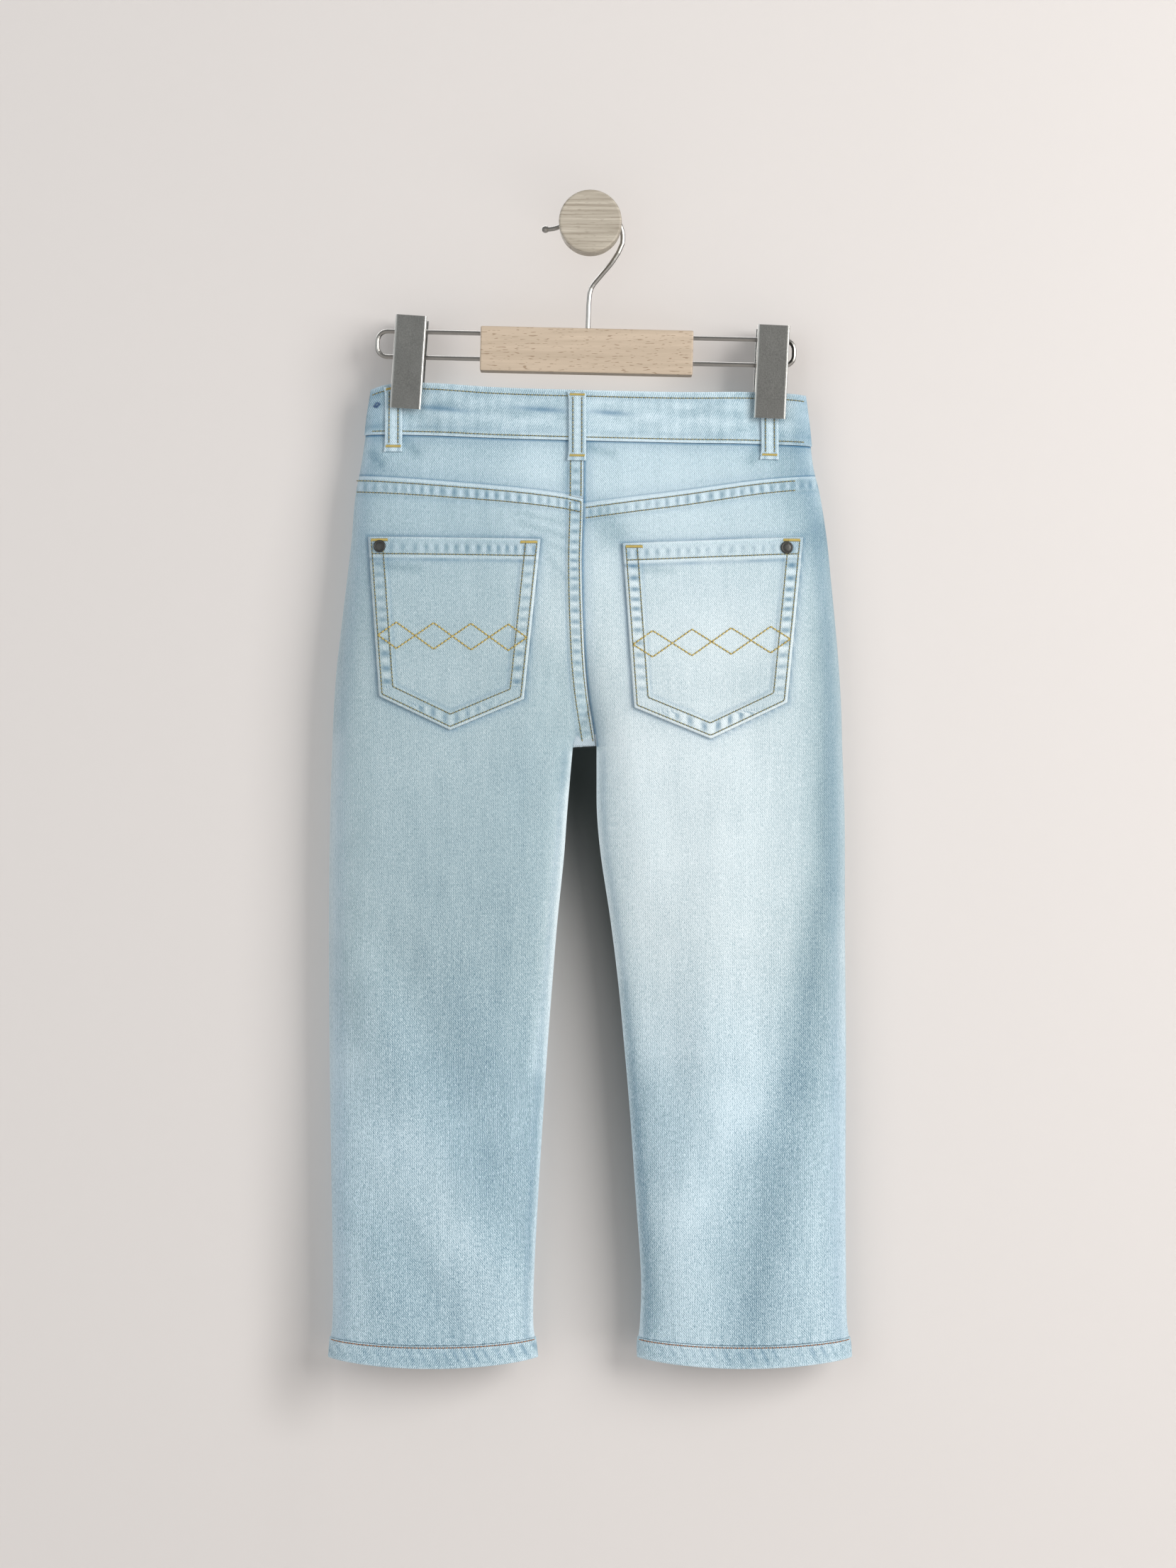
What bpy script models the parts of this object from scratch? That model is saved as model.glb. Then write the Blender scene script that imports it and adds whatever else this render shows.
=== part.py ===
"""Children's jeans hanging by their waistband from a clip hanger on a wooden wall knob.

The garment hangs with its back to the viewer, who looks along +Y at the wall in the plane y = 0.
Lengths are in millimetres and turn into metres where a mesh is made. The origin is the centre of
the knob's back face, on the wall. Places on the garment are x, to the viewer's right, and drop,
the distance below the waistband's top edge. Left and right are the viewer's.
"""

import math

import bmesh
import bpy
from mathutils import Matrix, Vector

MM = 0.001

# Main sizes of the garment
WAIST_Z = -107.6
WAISTBAND_HEIGHT = 33.0
YOKE_SIDE_DROP = 55.0
CROTCH_DROP = 230.5
HEM_TOP_DROP = 616.0
HEM_BOTTOM_DROP = 629.0
MID_Y = -22.0

# Cloth
CLOTH = 1.2
BAND_CLOTH = 2.4
SEAM_GAP = 0.3
FELLED_RISE = 0.6
FELLED_WIDTH_CENTRE = 9.2
FELLED_WIDTH_YOKE = 8.6
FELLED_RAMP = 0.8
BAND_PROUD = 0.8
HEM_PROUD = 0.7

# How the cloth hangs: its roundness beside the seams, and how the clips pinch and lift the waist
ROLL_AT_HIPS = 52.0
ROLL_POWER = 2.4
CENTRE_SINK = 0.42
CROTCH_SINK_HEIGHT = 14.0
CLIP_X = (-118.2, 117.9)
CLIP_PINCH = 0.6
CLIP_PINCH_REACH = 22.0
CLIP_LIFT = (3.0, 2.0)
CLIP_LIFT_REACH = 40.0
WAIST_TILT = -0.0245
WAIST_RISE = 0.6
WAIST_HALF_WIDTH = 142.0
END_DROOP = {-1: 4.2, 1: 1.0}
BACK_HEM_BOW = (3.4, 5.2)
FRONT_HEM_BOW = 1.2

# The outline, seen from the back, and half of the garment's thickness
OUTLINE = [
    # drop, left side seam x, right side seam x, half depth
    (0.0, -142.6, 140.0, 9.2),
    (20.0, -145.4, 142.6, 9.6),
    (34.0, -146.8, 144.0, 10.2),
    (48.0, -149.2, 145.8, 11.2),
    (68.5, -153.4, 150.2, 12.6),
    (96.0, -155.8, 154.4, 14.4),
    (124.0, -159.0, 157.2, 16.0),
    (151.0, -162.2, 159.8, 17.4),
    (179.0, -165.4, 162.2, 18.4),
    (206.5, -167.4, 163.8, 18.9),
    (230.5, -168.4, 164.4, 19.0),
    (275.5, -169.8, 166.0, 19.0),
    (344.5, -170.6, 166.2, 18.8),
    (427.0, -170.2, 166.9, 18.6),
    (524.0, -168.8, 166.6, 18.2),
    (579.0, -168.0, 167.0, 17.8),
    (607.0, -168.4, 167.6, 17.4),
    (620.5, -169.8, 169.6, 17.4),
    (632.0, -170.6, 170.2, 17.6),
]
INSEAMS = [
    # drop, left leg's inseam x, right leg's inseam x
    (230.5, -11.3, 4.1),
    (248.0, -12.9, 4.1),
    (275.5, -15.2, 4.4),
    (303.0, -17.2, 7.0),
    (344.5, -21.4, 13.2),
    (386.0, -24.8, 18.3),
    (427.0, -27.9, 22.2),
    (469.0, -30.6, 25.8),
    (524.0, -34.0, 29.6),
    (579.0, -36.8, 33.2),
    (607.0, -37.2, 32.4),
    (620.5, -35.6, 31.0),
    (632.0, -34.4, 31.2),
]
YOKE_SEAM = {
    # for each side: distance from the centre seam, drop
    -1: [(0.0, 70.3), (15.0, 67.2), (49.0, 63.2), (94.0, 59.7), (148.0, 56.3)],
    1: [(0.0, 74.0), (33.0, 69.6), (66.0, 65.4), (116.0, 57.9), (153.0, 53.9)],
}
CENTRE_SEAM = [
    # drop, x of the centre back and centre front seam
    (0.0, -4.4),
    (72.0, -4.6),
    (114.0, -5.6),
    (170.0, -3.9),
    (198.0, -1.4),
    (230.5, 3.7),
]
BACK_FOLDS = [
    # start x, start drop, end x, end drop, half width, height of the ridge (a trough is negative)
    (-18.0, 196.0, -44.0, 272.0, 11.0, -2.0),
    (-24.0, 150.0, -36.0, 190.0, 10.0, 1.0),
    (-158.0, 372.0, -50.0, 576.0, 22.0, 2.2),
    (-132.0, 362.0, -52.0, 540.0, 18.0, -1.8),
    (-146.0, 515.0, -96.0, 596.0, 16.0, -1.5),
    (92.0, 258.0, 76.0, 424.0, 22.0, 1.8),
    (76.0, 424.0, 46.0, 558.0, 20.0, 2.2),
    (140.0, 400.0, 92.0, 585.0, 20.0, -2.2),
    (34.0, 350.0, 64.0, 490.0, 16.0, -1.5),
    (154.0, 470.0, 120.0, 598.0, 16.0, 1.4),
    (20.0, 220.0, 34.0, 300.0, 12.0, 1.2),
]
FRONT_FOLDS = [
    # start x, start drop, end x, end drop, half width, height of the ridge (a trough is negative)
    (-20.0, 190.0, -52.0, 262.0, 12.0, -1.8),
    (20.0, 188.0, 50.0, 258.0, 12.0, -1.6),
    (-150.0, 350.0, -60.0, 500.0, 22.0, 1.8),
    (-130.0, 420.0, -56.0, 560.0, 18.0, -1.6),
    (84.0, 270.0, 96.0, 440.0, 22.0, 1.6),
    (130.0, 380.0, 60.0, 540.0, 20.0, -1.8),
]

# Rows and columns of the walls
PANEL_ROWS = [86, 107, 128, 148, 167, 184, 199, 212, 222, 227.5, 230.5, 233, 241, 253, 269,
              290, 314, 340, 368, 396, 424, 452, 480, 508, 536, 564, 592]
PANEL_COLUMNS = [0, 0.015, 0.06, 0.12, 0.19, 0.28, 0.4, 0.55, 0.7, 0.84]
BAND_COLUMNS = [0, 1, 4, 9, 15, 21, 27, 35, 46, 62, 88, 114]
BAND_ROWS = [0, 2, 17, 31]
HEM_COLUMNS = [0, 0.015, 0.06, 0.14, 0.26, 0.4, 0.6, 0.74, 0.86, 0.94, 0.985, 1]
FRONT_TOP_ROWS = [46, 60, 72]
LOOP_ROWS = [1.5, 4, 9, 17, 26, 33, 37, 40]
LOOP_COLUMNS = [-0.5, -0.17, 0.17, 0.5]
FLY_ROWS = [0, 0.2, 0.4, 0.6, 0.75, 0.88, 1]
FLY_COLUMNS = [0, 0.3, 0.6, 0.85, 1]
POCKET_CELLS = (12, 11)

# Pockets on the back: corners as x and drop
POCKETS = {
    "left": {
        "top_left": (-144.4, 94.8), "top_right": (-32.2, 96.4), "low_right": (-43.0, 200.5),
        "point": (-90.7, 220.5), "low_left": (-136.7, 198.5), "rivet": (-136.6, 101.2),
    },
    "right": {
        "top_left": (20.8, 99.3), "top_right": (138.2, 95.0), "low_right": (127.4, 202.7),
        "point": (77.9, 226.2), "low_left": (28.4, 205.8), "rivet": (127.3, 102.2),
    },
}
POCKET_GAP = 0.5
RIVET_RADIUS = 4.0
RIVET_HEIGHT = 1.3
RIVET_LIFT = POCKET_GAP + CLOTH + 0.6

# Belt loops: x of the middle, face (-1 back, 1 front) and drop of the lower end
LOOP_WIDTH = 11.4
LOOP_CLOTH = 1.4
LOOP_GAP = 0.35
LOOP_OVER_BAND = 0.9
LOOP_OVER_FELL = 0.7
LOOP_BOW = 0.3
LOOPS = {
    "belt_loop_back_left": (-128.0, -1, 43.0),
    "belt_loop_back_centre": (-8.4, -1, 46.0),
    "belt_loop_back_right": (116.8, -1, 43.0),
    "belt_loop_front_left": (-84.0, 1, 44.0),
    "belt_loop_front_right": (80.0, 1, 44.0),
}

# Front closure and pockets, on the side that faces the wall
FRONT_POCKET_START = 88.0
FRONT_POCKET_END = 148.0
FRONT_POCKET_DEPTH = 64.0
MOUTH_CURVE = 0.85
MOUTH_COLUMN = 6
FACING_SINK = [0, 0.4, 0.7, 0.8, 0.8, 0.8, 0.8]
FLY_WIDTH = 32.0
FLY_DROP = 122.0
FLY_GAP = 0.4
BUTTON_RADIUS = 8.0
BUTTON_HEIGHT = 3.2
BUTTON_PLACE = (-19.0, 16.5)
BUTTON_LIFT = 1.2
STUD_SIDES = 20

# Hanger
HANGER_TILT = -1.3
BAR_CENTRE = (-2.4, -80.8)
BAR_SIZE = (138.5, 14.0, 29.0)
BAR_EDGE = 0.9
WIRE_RADIUS = 1.5
WIRE_SPACING = 16.7
WIRE_BEND = 6.5
WIRE_END_X = (-139.0, 133.0)
WIRE_RISE = 2.1
HOOK_RADIUS = 1.55
HOOK_CENTRE = (2.0, -6.4)
HOOK_BEND_RADIUS = 19.3
HOOK_BALL_RADIUS = 2.4
HOOK_BALL_X = -29.3
HOOK_STEM = [
    # x, z
    (-1.5, -66.0),
    (-1.2, -56.0),
    (-0.8, -47.5),
    (0.6, -39.4),
    (6.6, -31.6),
    (13.4, -23.6),
    (18.2, -16.4),
]
HOOK_BEND = (-12, 146)
HOOK_TAIL = [
    # x, z
    (-17.2, 2.4),
    (-20.8, 0.5),
    (-24.2, -0.5),
    (-27.4, -0.9),
]
CLIPS = {
    # middle x, middle z, lean in degrees, width
    "left": (-118.2, -88.9, -3.9, 20.4),
    "right": (117.9, -95.3, -2.6, 20.8),
}
CLIP_LENGTH = 60.4
CLIP_SHEET = 1.0
CLIP_FLANGE = 2.0
CLIP_JAW_GAP = 10.4
CLIP_TOP_GAP = 12.6
CLIP_BEND = 1.6
PAD_HEIGHT = 13.0
PAD_CLOTH_GAP = 9.1
PAD_THICKNESS = 1.8
PAD_MARGIN = 2.5
PAD_EDGE = 0.4
PAD_RISE = 0.8
SLEEVE_SIZE = (13.0, 20.8, 24.4)
SLEEVE_CORNER = 4.0

# Wall knob
KNOB_RADIUS = 20.3
KNOB_FRONT_Y = -50.0
KNOB_BACK_Y = -32.0
PEG_RADIUS = 11.0
KNOB_EDGE = 1.2
KNOB_SIDES = 44

# Finishes
FINISHES = {
    # kind: colour, roughness, metallic
    "denim": ((0.50, 0.66, 0.74), 0.85, 0.0),
    "steel_plate": ((0.42, 0.42, 0.40), 0.4, 1.0),
    "wire": ((0.62, 0.61, 0.58), 0.3, 1.0),
    "beech": ((0.62, 0.50, 0.37), 0.55, 0.0),
    "grey_wood": ((0.52, 0.47, 0.38), 0.7, 0.0),
    "rubber": ((0.03, 0.03, 0.03), 0.8, 0.0),
    "gunmetal": ((0.10, 0.11, 0.11), 0.35, 1.0),
}


def smooth(low, high, value):
    """0 below low, 1 above high, and a smooth step between."""
    share = min(1.0, max(0.0, (value - low) / (high - low)))
    return share * share * (3 - 2 * share)


def along(table, column, drop):
    """A column of a table at any drop, on a smooth curve through its rows."""
    drops = [row[0] for row in table]
    values = [row[column] for row in table]
    if drop <= drops[0]:
        return values[0]
    if drop >= drops[-1]:
        return values[-1]
    i = max(n for n, d in enumerate(drops) if d <= drop)
    i = min(i, len(drops) - 2)

    def slope(n):
        before, after = max(0, n - 1), min(len(drops) - 1, n + 1)
        return (values[after] - values[before]) / (drops[after] - drops[before])

    step = drops[i + 1] - drops[i]
    t = (drop - drops[i]) / step
    a, b = slope(i) * step, slope(i + 1) * step
    return (
        values[i] * (1 + 2 * t) * (1 - t) ** 2
        + a * t * (1 - t) ** 2
        + values[i + 1] * t * t * (3 - 2 * t)
        - b * t * t * (1 - t)
    )


def edges_at(side, drop):
    """x of the side seam and of the inner edge of one half (side -1 left, 1 right)."""
    outer = along(OUTLINE, 1 if side < 0 else 2, drop)
    if drop <= CROTCH_DROP:
        return outer, along(CENTRE_SEAM, 1, drop) + side * SEAM_GAP / 2
    return outer, along(INSEAMS, 1 if side < 0 else 2, drop)


def rise(share):
    """How far the cloth has come forward of its edge: 0 on the edge, 1 from share 1 on."""
    share = min(1.0, max(0.0, share))
    return math.sqrt(1 - (1 - share) ** ROLL_POWER)


def crotch_fall(drop):
    """How far the centre seam has sunk to the middle plane: 0 on the seat, 1 at the crotch."""
    if drop >= CROTCH_DROP:
        return 1.0
    near = max(0.0, 1 - (CROTCH_DROP - drop) / CROTCH_SINK_HEIGHT)
    return CENTRE_SINK * smooth(125, CROTCH_DROP, drop) + (1 - CENTRE_SINK) * near * near


def pinch(x, drop):
    """The share of the depth that the clips leave."""
    fade = 1 - smooth(14, 62, drop)
    nearest = min(abs(x - clip_x) for clip_x in CLIP_X)
    return 1 - CLIP_PINCH * fade * math.exp(-((nearest / CLIP_PINCH_REACH) ** 2))


def fold_height(folds, x, drop):
    """How far a table's folds push the cloth out at a point."""
    total = 0.0
    for x0, d0, x1, d1, width, height in folds:
        run_x, run_d = x1 - x0, d1 - d0
        t = ((x - x0) * run_x + (drop - d0) * run_d) / (run_x**2 + run_d**2)
        t = min(1.0, max(0.0, t))
        away = math.hypot(x - x0 - t * run_x, drop - d0 - t * run_d)
        total += height * math.exp(-((away / width) ** 2))
    return total


def depth(face, side, x, drop):
    """How far the cloth's outer surface stands from the garment's middle plane."""
    outer, inner = edges_at(side, drop)
    width = abs(inner - outer)
    roll = ROLL_AT_HIPS + (width / 2 - ROLL_AT_HIPS) * smooth(150, 260, drop)
    share = rise(abs(x - outer) / roll)
    share *= 1 - crotch_fall(drop) * (1 - rise(abs(x - inner) / roll))
    folds = fold_height(BACK_FOLDS if face < 0 else FRONT_FOLDS, x, drop)
    return along(OUTLINE, 3, drop) * share * pinch(x, drop) + folds * share


def lift(x, drop):
    """How much higher than its drop says a point of the waist hangs."""
    clips = 0.0
    for clip_x, height in zip(CLIP_X, CLIP_LIFT):
        clips += height * math.exp(-(((x - clip_x) / CLIP_LIFT_REACH) ** 2))
    end = END_DROOP[-1 if x < 0 else 1] * abs(x / WAIST_HALF_WIDTH) ** 14
    tilt = (WAIST_RISE + WAIST_TILT * x) * (1 - smooth(WAISTBAND_HEIGHT, 70, drop))
    return tilt + clips * (1 - smooth(0, 60, drop)) - end * (1 - smooth(0, WAISTBAND_HEIGHT, drop))


def cloth_point(face, side, x, drop, proud=0.0):
    """A point on the cloth's outer surface, moved out by proud."""
    y = SEAM_GAP / 2 + depth(face, side, x, drop) + proud
    return Vector((x, MID_Y + face * y, WAIST_Z - drop + lift(x, drop)))


def yoke_seam(side, x):
    """Drop of the seam under the yoke, which dips to a V at the centre."""
    away = side * (x - CENTRE_SEAM[1][1])
    return along(YOKE_SEAM[side], 1, max(0.0, away))


def front_top(side, x):
    """Drop of the front panel's upper edge: the waistband's seam, then the slanting pocket mouth."""
    away = (side * x - FRONT_POCKET_START) / (FRONT_POCKET_END - FRONT_POCKET_START)
    return WAISTBAND_HEIGHT + FRONT_POCKET_DEPTH * max(0.0, away) ** MOUTH_CURVE


def hem_bow(face, side, x, drop):
    """How much lower the hem hangs between its side edges."""
    outer, inner = edges_at(side, drop)
    share = min(1.0, max(0.0, (x - outer) / (inner - outer)))
    bow = FRONT_HEM_BOW
    if face < 0:
        top_bow, low_bow = BACK_HEM_BOW
        bow = top_bow + (low_bow - top_bow) * smooth(HEM_TOP_DROP, HEM_BOTTOM_DROP, drop)
    return bow * 4 * share * (1 - share)


def felled(face, side, x, drop):
    """Rise of the flat-felled seams: beside the centre back seam and under the yoke."""
    if face > 0:
        return 0.0
    inner = edges_at(side, drop)[1]
    rises = [0.0]
    if side < 0 and drop < CROTCH_DROP + 1:
        rises.append(1 - (inner - x - FELLED_WIDTH_CENTRE) / FELLED_RAMP)
    below = drop - yoke_seam(side, x)
    if below > -0.01:
        rises.append(1 - (below - FELLED_WIDTH_YOKE) / FELLED_RAMP)
    return FELLED_RISE * min(1.0, max(rises))


def finish_of(kind):
    """A new material of a kind from the table of finishes."""
    colour, roughness, metallic = FINISHES[kind]
    material = bpy.data.materials.new(kind)
    material.use_nodes = True
    shader = material.node_tree.nodes["Principled BSDF"]
    shader.inputs["Base Color"].default_value = (*colour, 1)
    shader.inputs["Roughness"].default_value = roughness
    shader.inputs["Metallic"].default_value = metallic
    return material


def place_object(name, data, kind, place=None):
    """An object of its own for a mesh or curve, with its own material. place is in millimetres."""
    thing = bpy.data.objects.new(name, data)
    bpy.context.scene.collection.objects.link(thing)
    data.materials.append(finish_of(kind))
    if place:
        thing.location = place.to_translation() * MM
        thing.rotation_euler = place.to_euler()
    return thing


def mesh_of(name, shape):
    """A mesh from a bmesh that is measured in millimetres."""
    bmesh.ops.scale(shape, vec=(MM, MM, MM), verts=shape.verts)
    bmesh.ops.recalc_face_normals(shape, faces=shape.faces)
    mesh = bpy.data.meshes.new(name)
    shape.to_mesh(mesh)
    shape.free()
    mesh.shade_smooth()
    mesh.set_sharp_from_angle(angle=math.radians(40))
    return mesh


def grid_normals(rows, face):
    """Unit normals of a grid of points that point out of the garment's face, -1 back or 1 front."""
    normals = []
    for i, row in enumerate(rows):
        above, below = rows[max(0, i - 1)], rows[min(len(rows) - 1, i + 1)]
        line = []
        for j in range(len(row)):
            across = row[min(len(row) - 1, j + 1)] - row[max(0, j - 1)]
            line.append(across.cross(below[j] - above[j]).normalized())
        normals.append(line)
    if normals[len(rows) // 2][len(rows[0]) // 2].y * face < 0:
        normals = [[-n for n in line] for line in normals]
    return normals


def moved(points, normals, distances):
    """A grid of points moved along its normals. distances is one number or a grid of them."""
    if not isinstance(distances, list):
        distances = [[distances] * len(row) for row in points]
    return [[p + n * d for p, n, d in zip(*rows)] for rows in zip(points, normals, distances)]


def wall(name, outer, inner, closed=False):
    """A closed solid of cloth between two grids of points that run the same way."""
    shape = bmesh.new()
    layers = [[[shape.verts.new(p) for p in row] for row in grid] for grid in (outer, inner)]
    width = len(outer[0])
    spans = width if closed else width - 1
    for upper_rows, lower_rows in zip(zip(*layers), list(zip(*layers))[1:]):
        for j in range(spans):
            k = (j + 1) % width
            for upper, lower in zip(upper_rows, lower_rows):
                shape.faces.new((upper[j], lower[j], lower[k], upper[k]))
    for out_row, in_row in ((layers[0][0], layers[1][0]), (layers[0][-1], layers[1][-1])):
        for j in range(spans):
            k = (j + 1) % width
            shape.faces.new((out_row[j], out_row[k], in_row[k], in_row[j]))
    if not closed:
        for j in (0, width - 1):
            columns = [[row[j] for row in layer] for layer in layers]
            for a, b, c, d in zip(columns[0], columns[0][1:], columns[1][1:], columns[1]):
                shape.faces.new((a, b, c, d))
    return place_object(name, mesh_of(name, shape), "denim")


def panel_x(side, drop, columns, inner_columns):
    """x of one half's columns at a drop: shares of the width, then distances from the inner edge."""
    outer, inner = edges_at(side, drop)
    turn = 1 if inner > outer else -1
    first = [outer + (inner - outer) * c for c in columns]
    return first + [inner - turn * c for c in inner_columns]


def columns_of(face, side):
    """Where a leg panel has points: shares of its width, then distances from its inner edge."""
    columns = list(PANEL_COLUMNS)
    if face > 0:
        outer, inner = edges_at(side, WAISTBAND_HEIGHT)
        columns[MOUTH_COLUMN] = (abs(outer) - FRONT_POCKET_START) / abs(inner - outer)
    return columns, [10.0, 9.2, 3.6, 0] if side < 0 and face < 0 else [9.4, 3.4, 0]


def sheared_row(face, side, top, start, drop, share):
    """x and true drop of each column, where share of the upper edge's slant is left at this drop."""
    places = []
    columns = columns_of(face, side)
    for column, x in enumerate(panel_x(side, drop, *columns)):
        for _ in range(3):
            real = drop + (top(side, x) - start) * share
            x = panel_x(side, real, *columns)[column]
        places.append((x, real))
    return places


def leg_panel(name, face, side, top):
    """One of the four leg panels, from its upper edge, at the drop top(side, x), to the hem."""
    start = WAISTBAND_HEIGHT if face > 0 else YOKE_SIDE_DROP
    nominal = [start]
    if face < 0:
        nominal += [start + FELLED_WIDTH_YOKE, start + FELLED_WIDTH_YOKE + FELLED_RAMP]
    else:
        nominal += FRONT_TOP_ROWS
    nominal += PANEL_ROWS + [HEM_TOP_DROP]
    seam_end = 130 if face < 0 else 200
    base, raised = [], []
    for drop in nominal:
        line, tall = [], []
        slant = 1 - smooth(start, seam_end, drop)
        for x, real in sheared_row(face, side, top, start, drop, slant):
            if drop == start:
                real += SEAM_GAP / 2
            if drop == HEM_TOP_DROP:
                real -= SEAM_GAP / 2
            point = cloth_point(face, side, x, real)
            point.z -= hem_bow(face, side, x, drop) * smooth(500, HEM_TOP_DROP, drop)
            line.append(point)
            tall.append(felled(face, side, x, real if drop < CROTCH_DROP else drop))
        base.append(line)
        raised.append(tall)
    normals = grid_normals(base, face)
    for drop, line in zip(nominal, normals):
        line[0] = Vector((side, 0, 0))
        edge = line[-1]
        if drop < CROTCH_DROP:
            line[-1] = Vector((0, edge.y, edge.z)).normalized()
        elif drop == CROTCH_DROP:
            line[-1] = Vector((0, 0, -1))
        else:
            line[-1] = Vector((edge.x, 0, edge.z)).normalized()
    return wall(name, moved(base, normals, raised), moved(base, normals, -CLOTH))


def between_seams(face, side, low_edge, count):
    """Rows of points from the waistband's lower seam down to low_edge, given as x and drop."""
    level = WAISTBAND_HEIGHT + SEAM_GAP / 2
    rows = []
    for i in range(count):
        line = []
        for low_x, low in low_edge:
            drop = level + (low - SEAM_GAP / 2 - level) * i / (count - 1)
            outer, inner = edges_at(side, drop)
            low_outer, low_inner = edges_at(side, low)
            x = outer + (inner - outer) * (low_x - low_outer) / (low_inner - low_outer)
            line.append(cloth_point(face, side, x, drop))
        rows.append(line)
    return rows


def yoke(name, side):
    """The V-shaped piece between the waistband and the back panel."""
    low_edge = sheared_row(-1, side, yoke_seam, YOKE_SIDE_DROP, YOKE_SIDE_DROP, 1)
    base = between_seams(-1, side, low_edge, 4)
    normals = grid_normals(base, -1)
    for line in normals:
        line[0] = Vector((side, 0, 0))
        line[-1] = Vector((0, line[-1].y, line[-1].z)).normalized()
    felled_columns = 3 if side < 0 else 0
    plain_columns = len(base[0]) - felled_columns
    raised = [[0.0] * plain_columns + [FELLED_RISE] * felled_columns for _ in base]
    return wall(name, moved(base, normals, raised), moved(base, normals, -CLOTH))


def waistband():
    """The band round the waist, from the front closure round the back and to the closure again."""
    rows = []
    for drop in BAND_ROWS + [WAISTBAND_HEIGHT - SEAM_GAP / 2]:
        proud = BAND_PROUD if drop else BAND_PROUD - 0.5
        halves = {}
        for side in (-1, 1):
            outer, inner = edges_at(side, drop)
            halves[side] = [outer - side * c for c in BAND_COLUMNS[1:]] + [inner + side * 8, inner]
        ring = [cloth_point(1, -1, x, drop, proud) for x in reversed(halves[-1])]
        ring.append(side_point(-1, drop, proud))
        ring += [cloth_point(-1, -1, x, drop, proud) for x in halves[-1][:-1]]
        ring += [cloth_point(-1, 1, x, drop, proud) for x in reversed(halves[1])]
        ring.append(side_point(1, drop, proud))
        ring += [cloth_point(1, 1, x, drop, proud) for x in halves[1]]
        rows.append(ring)
    return wall("waistband", rows, moved(rows, ring_normals(rows, open_ends=True), -BAND_CLOTH))


def side_point(side, drop, proud):
    """The point of a ring on the side seam, in the garment's middle plane."""
    x = edges_at(side, drop)[0]
    return Vector((x + side * proud, MID_Y, WAIST_Z - drop + lift(x, drop)))


def ring_normals(rows, open_ends=False):
    """Level unit normals that point out of rings of points. An open ring's ends don't meet."""
    normals = []
    for ring in rows:
        count, line = len(ring), []
        for j in range(count):
            before, after = ring[j - 1], ring[(j + 1) % count]
            if open_ends and j == 0:
                before = ring[0]
            if open_ends and j == count - 1:
                after = ring[-1]
            run = after - before
            line.append(Vector((run.y, -run.x, 0)).normalized())
        centre = sum(ring, Vector()) / count
        if sum((p - centre).dot(n) for p, n in zip(ring, line)) < 0:
            line = [-n for n in line]
        normals.append(line)
    return normals


def hem(name, side):
    """The turned-up hem at the end of a leg, a ring a little proud of the leg."""
    top = HEM_TOP_DROP + SEAM_GAP / 2
    heights = [
        # drop, how far the ring stands out from the leg
        (top, 0.1),
        (top + 1.0, HEM_PROUD),
        (622.0, HEM_PROUD),
        (HEM_BOTTOM_DROP - 0.8, HEM_PROUD),
        (HEM_BOTTOM_DROP, 0.2),
    ]
    rows = []
    for drop, proud in heights:
        outer, inner = edges_at(side, drop)
        ring = []
        for face, columns in ((-1, HEM_COLUMNS[:-1]), (1, HEM_COLUMNS[:0:-1])):
            for share in columns:
                x = outer + (inner - outer) * share
                point = cloth_point(face, side, x, drop, proud)
                if share in (0, 1):
                    point.y = MID_Y
                    point.x += side * proud if share == 0 else -side * proud
                point.z -= hem_bow(face, side, x, drop)
                ring.append(point)
        rows.append(ring)
    return wall(name, rows, moved(rows, ring_normals(rows), -BAND_CLOTH), closed=True)


def laid_on(name, face, rows, gap, thickness):
    """A flat piece on the cloth. rows hold (side, x, drop, extra lift off the cloth) of each point."""
    inner = [[cloth_point(face, s, x, d, gap + e) for s, x, d, e in row] for row in rows]
    outer = [[p + Vector((0, face * thickness, 0)) for p in row] for row in inner]
    return wall(name, outer, inner)


def between(a, b, share):
    """The point a share of the way from a to b."""
    return tuple(p + (q - p) * share for p, q in zip(a, b))


def pocket_place(corners, across, down):
    """x and drop in a five-cornered pocket, at shares of its width and height."""
    top = between(corners["top_left"], corners["top_right"], across)
    if across < 0.5:
        low = between(corners["low_left"], corners["point"], 2 * across)
    else:
        low = between(corners["point"], corners["low_right"], 2 * across - 1)
    return between(top, low, down)


def patch_pocket(name, side, corners):
    """A five-cornered pocket that lies on the back panel."""
    across, down = POCKET_CELLS
    rows = []
    for i in range(down + 1):
        places = [pocket_place(corners, j / across, i / down) for j in range(across + 1)]
        rows.append([(side, x, drop, 0.0) for x, drop in places])
    return laid_on(name, -1, rows, POCKET_GAP, CLOTH)


def belt_loop(name, middle, face, low):
    """A strip that stands over the waistband and comes down on the cloth under it."""
    side = -1 if middle < CENTRE_SEAM[0][1] + 1 else 1
    over_fell = LOOP_OVER_FELL if name.endswith("centre") else 0.0
    rows = []
    for drop in LOOP_ROWS + [low - 2, low]:
        over_band = LOOP_OVER_BAND * (1 - smooth(WAISTBAND_HEIGHT + 1, WAISTBAND_HEIGHT + 6, drop))
        bow = LOOP_BOW * max(0.0, math.sin(math.pi * drop / WAISTBAND_HEIGHT))
        lifted = max(over_band, over_fell) + bow
        rows.append([(side, middle + share * LOOP_WIDTH, drop, lifted) for share in LOOP_COLUMNS])
    return laid_on(name, face, rows, LOOP_GAP, LOOP_CLOTH)


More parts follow.
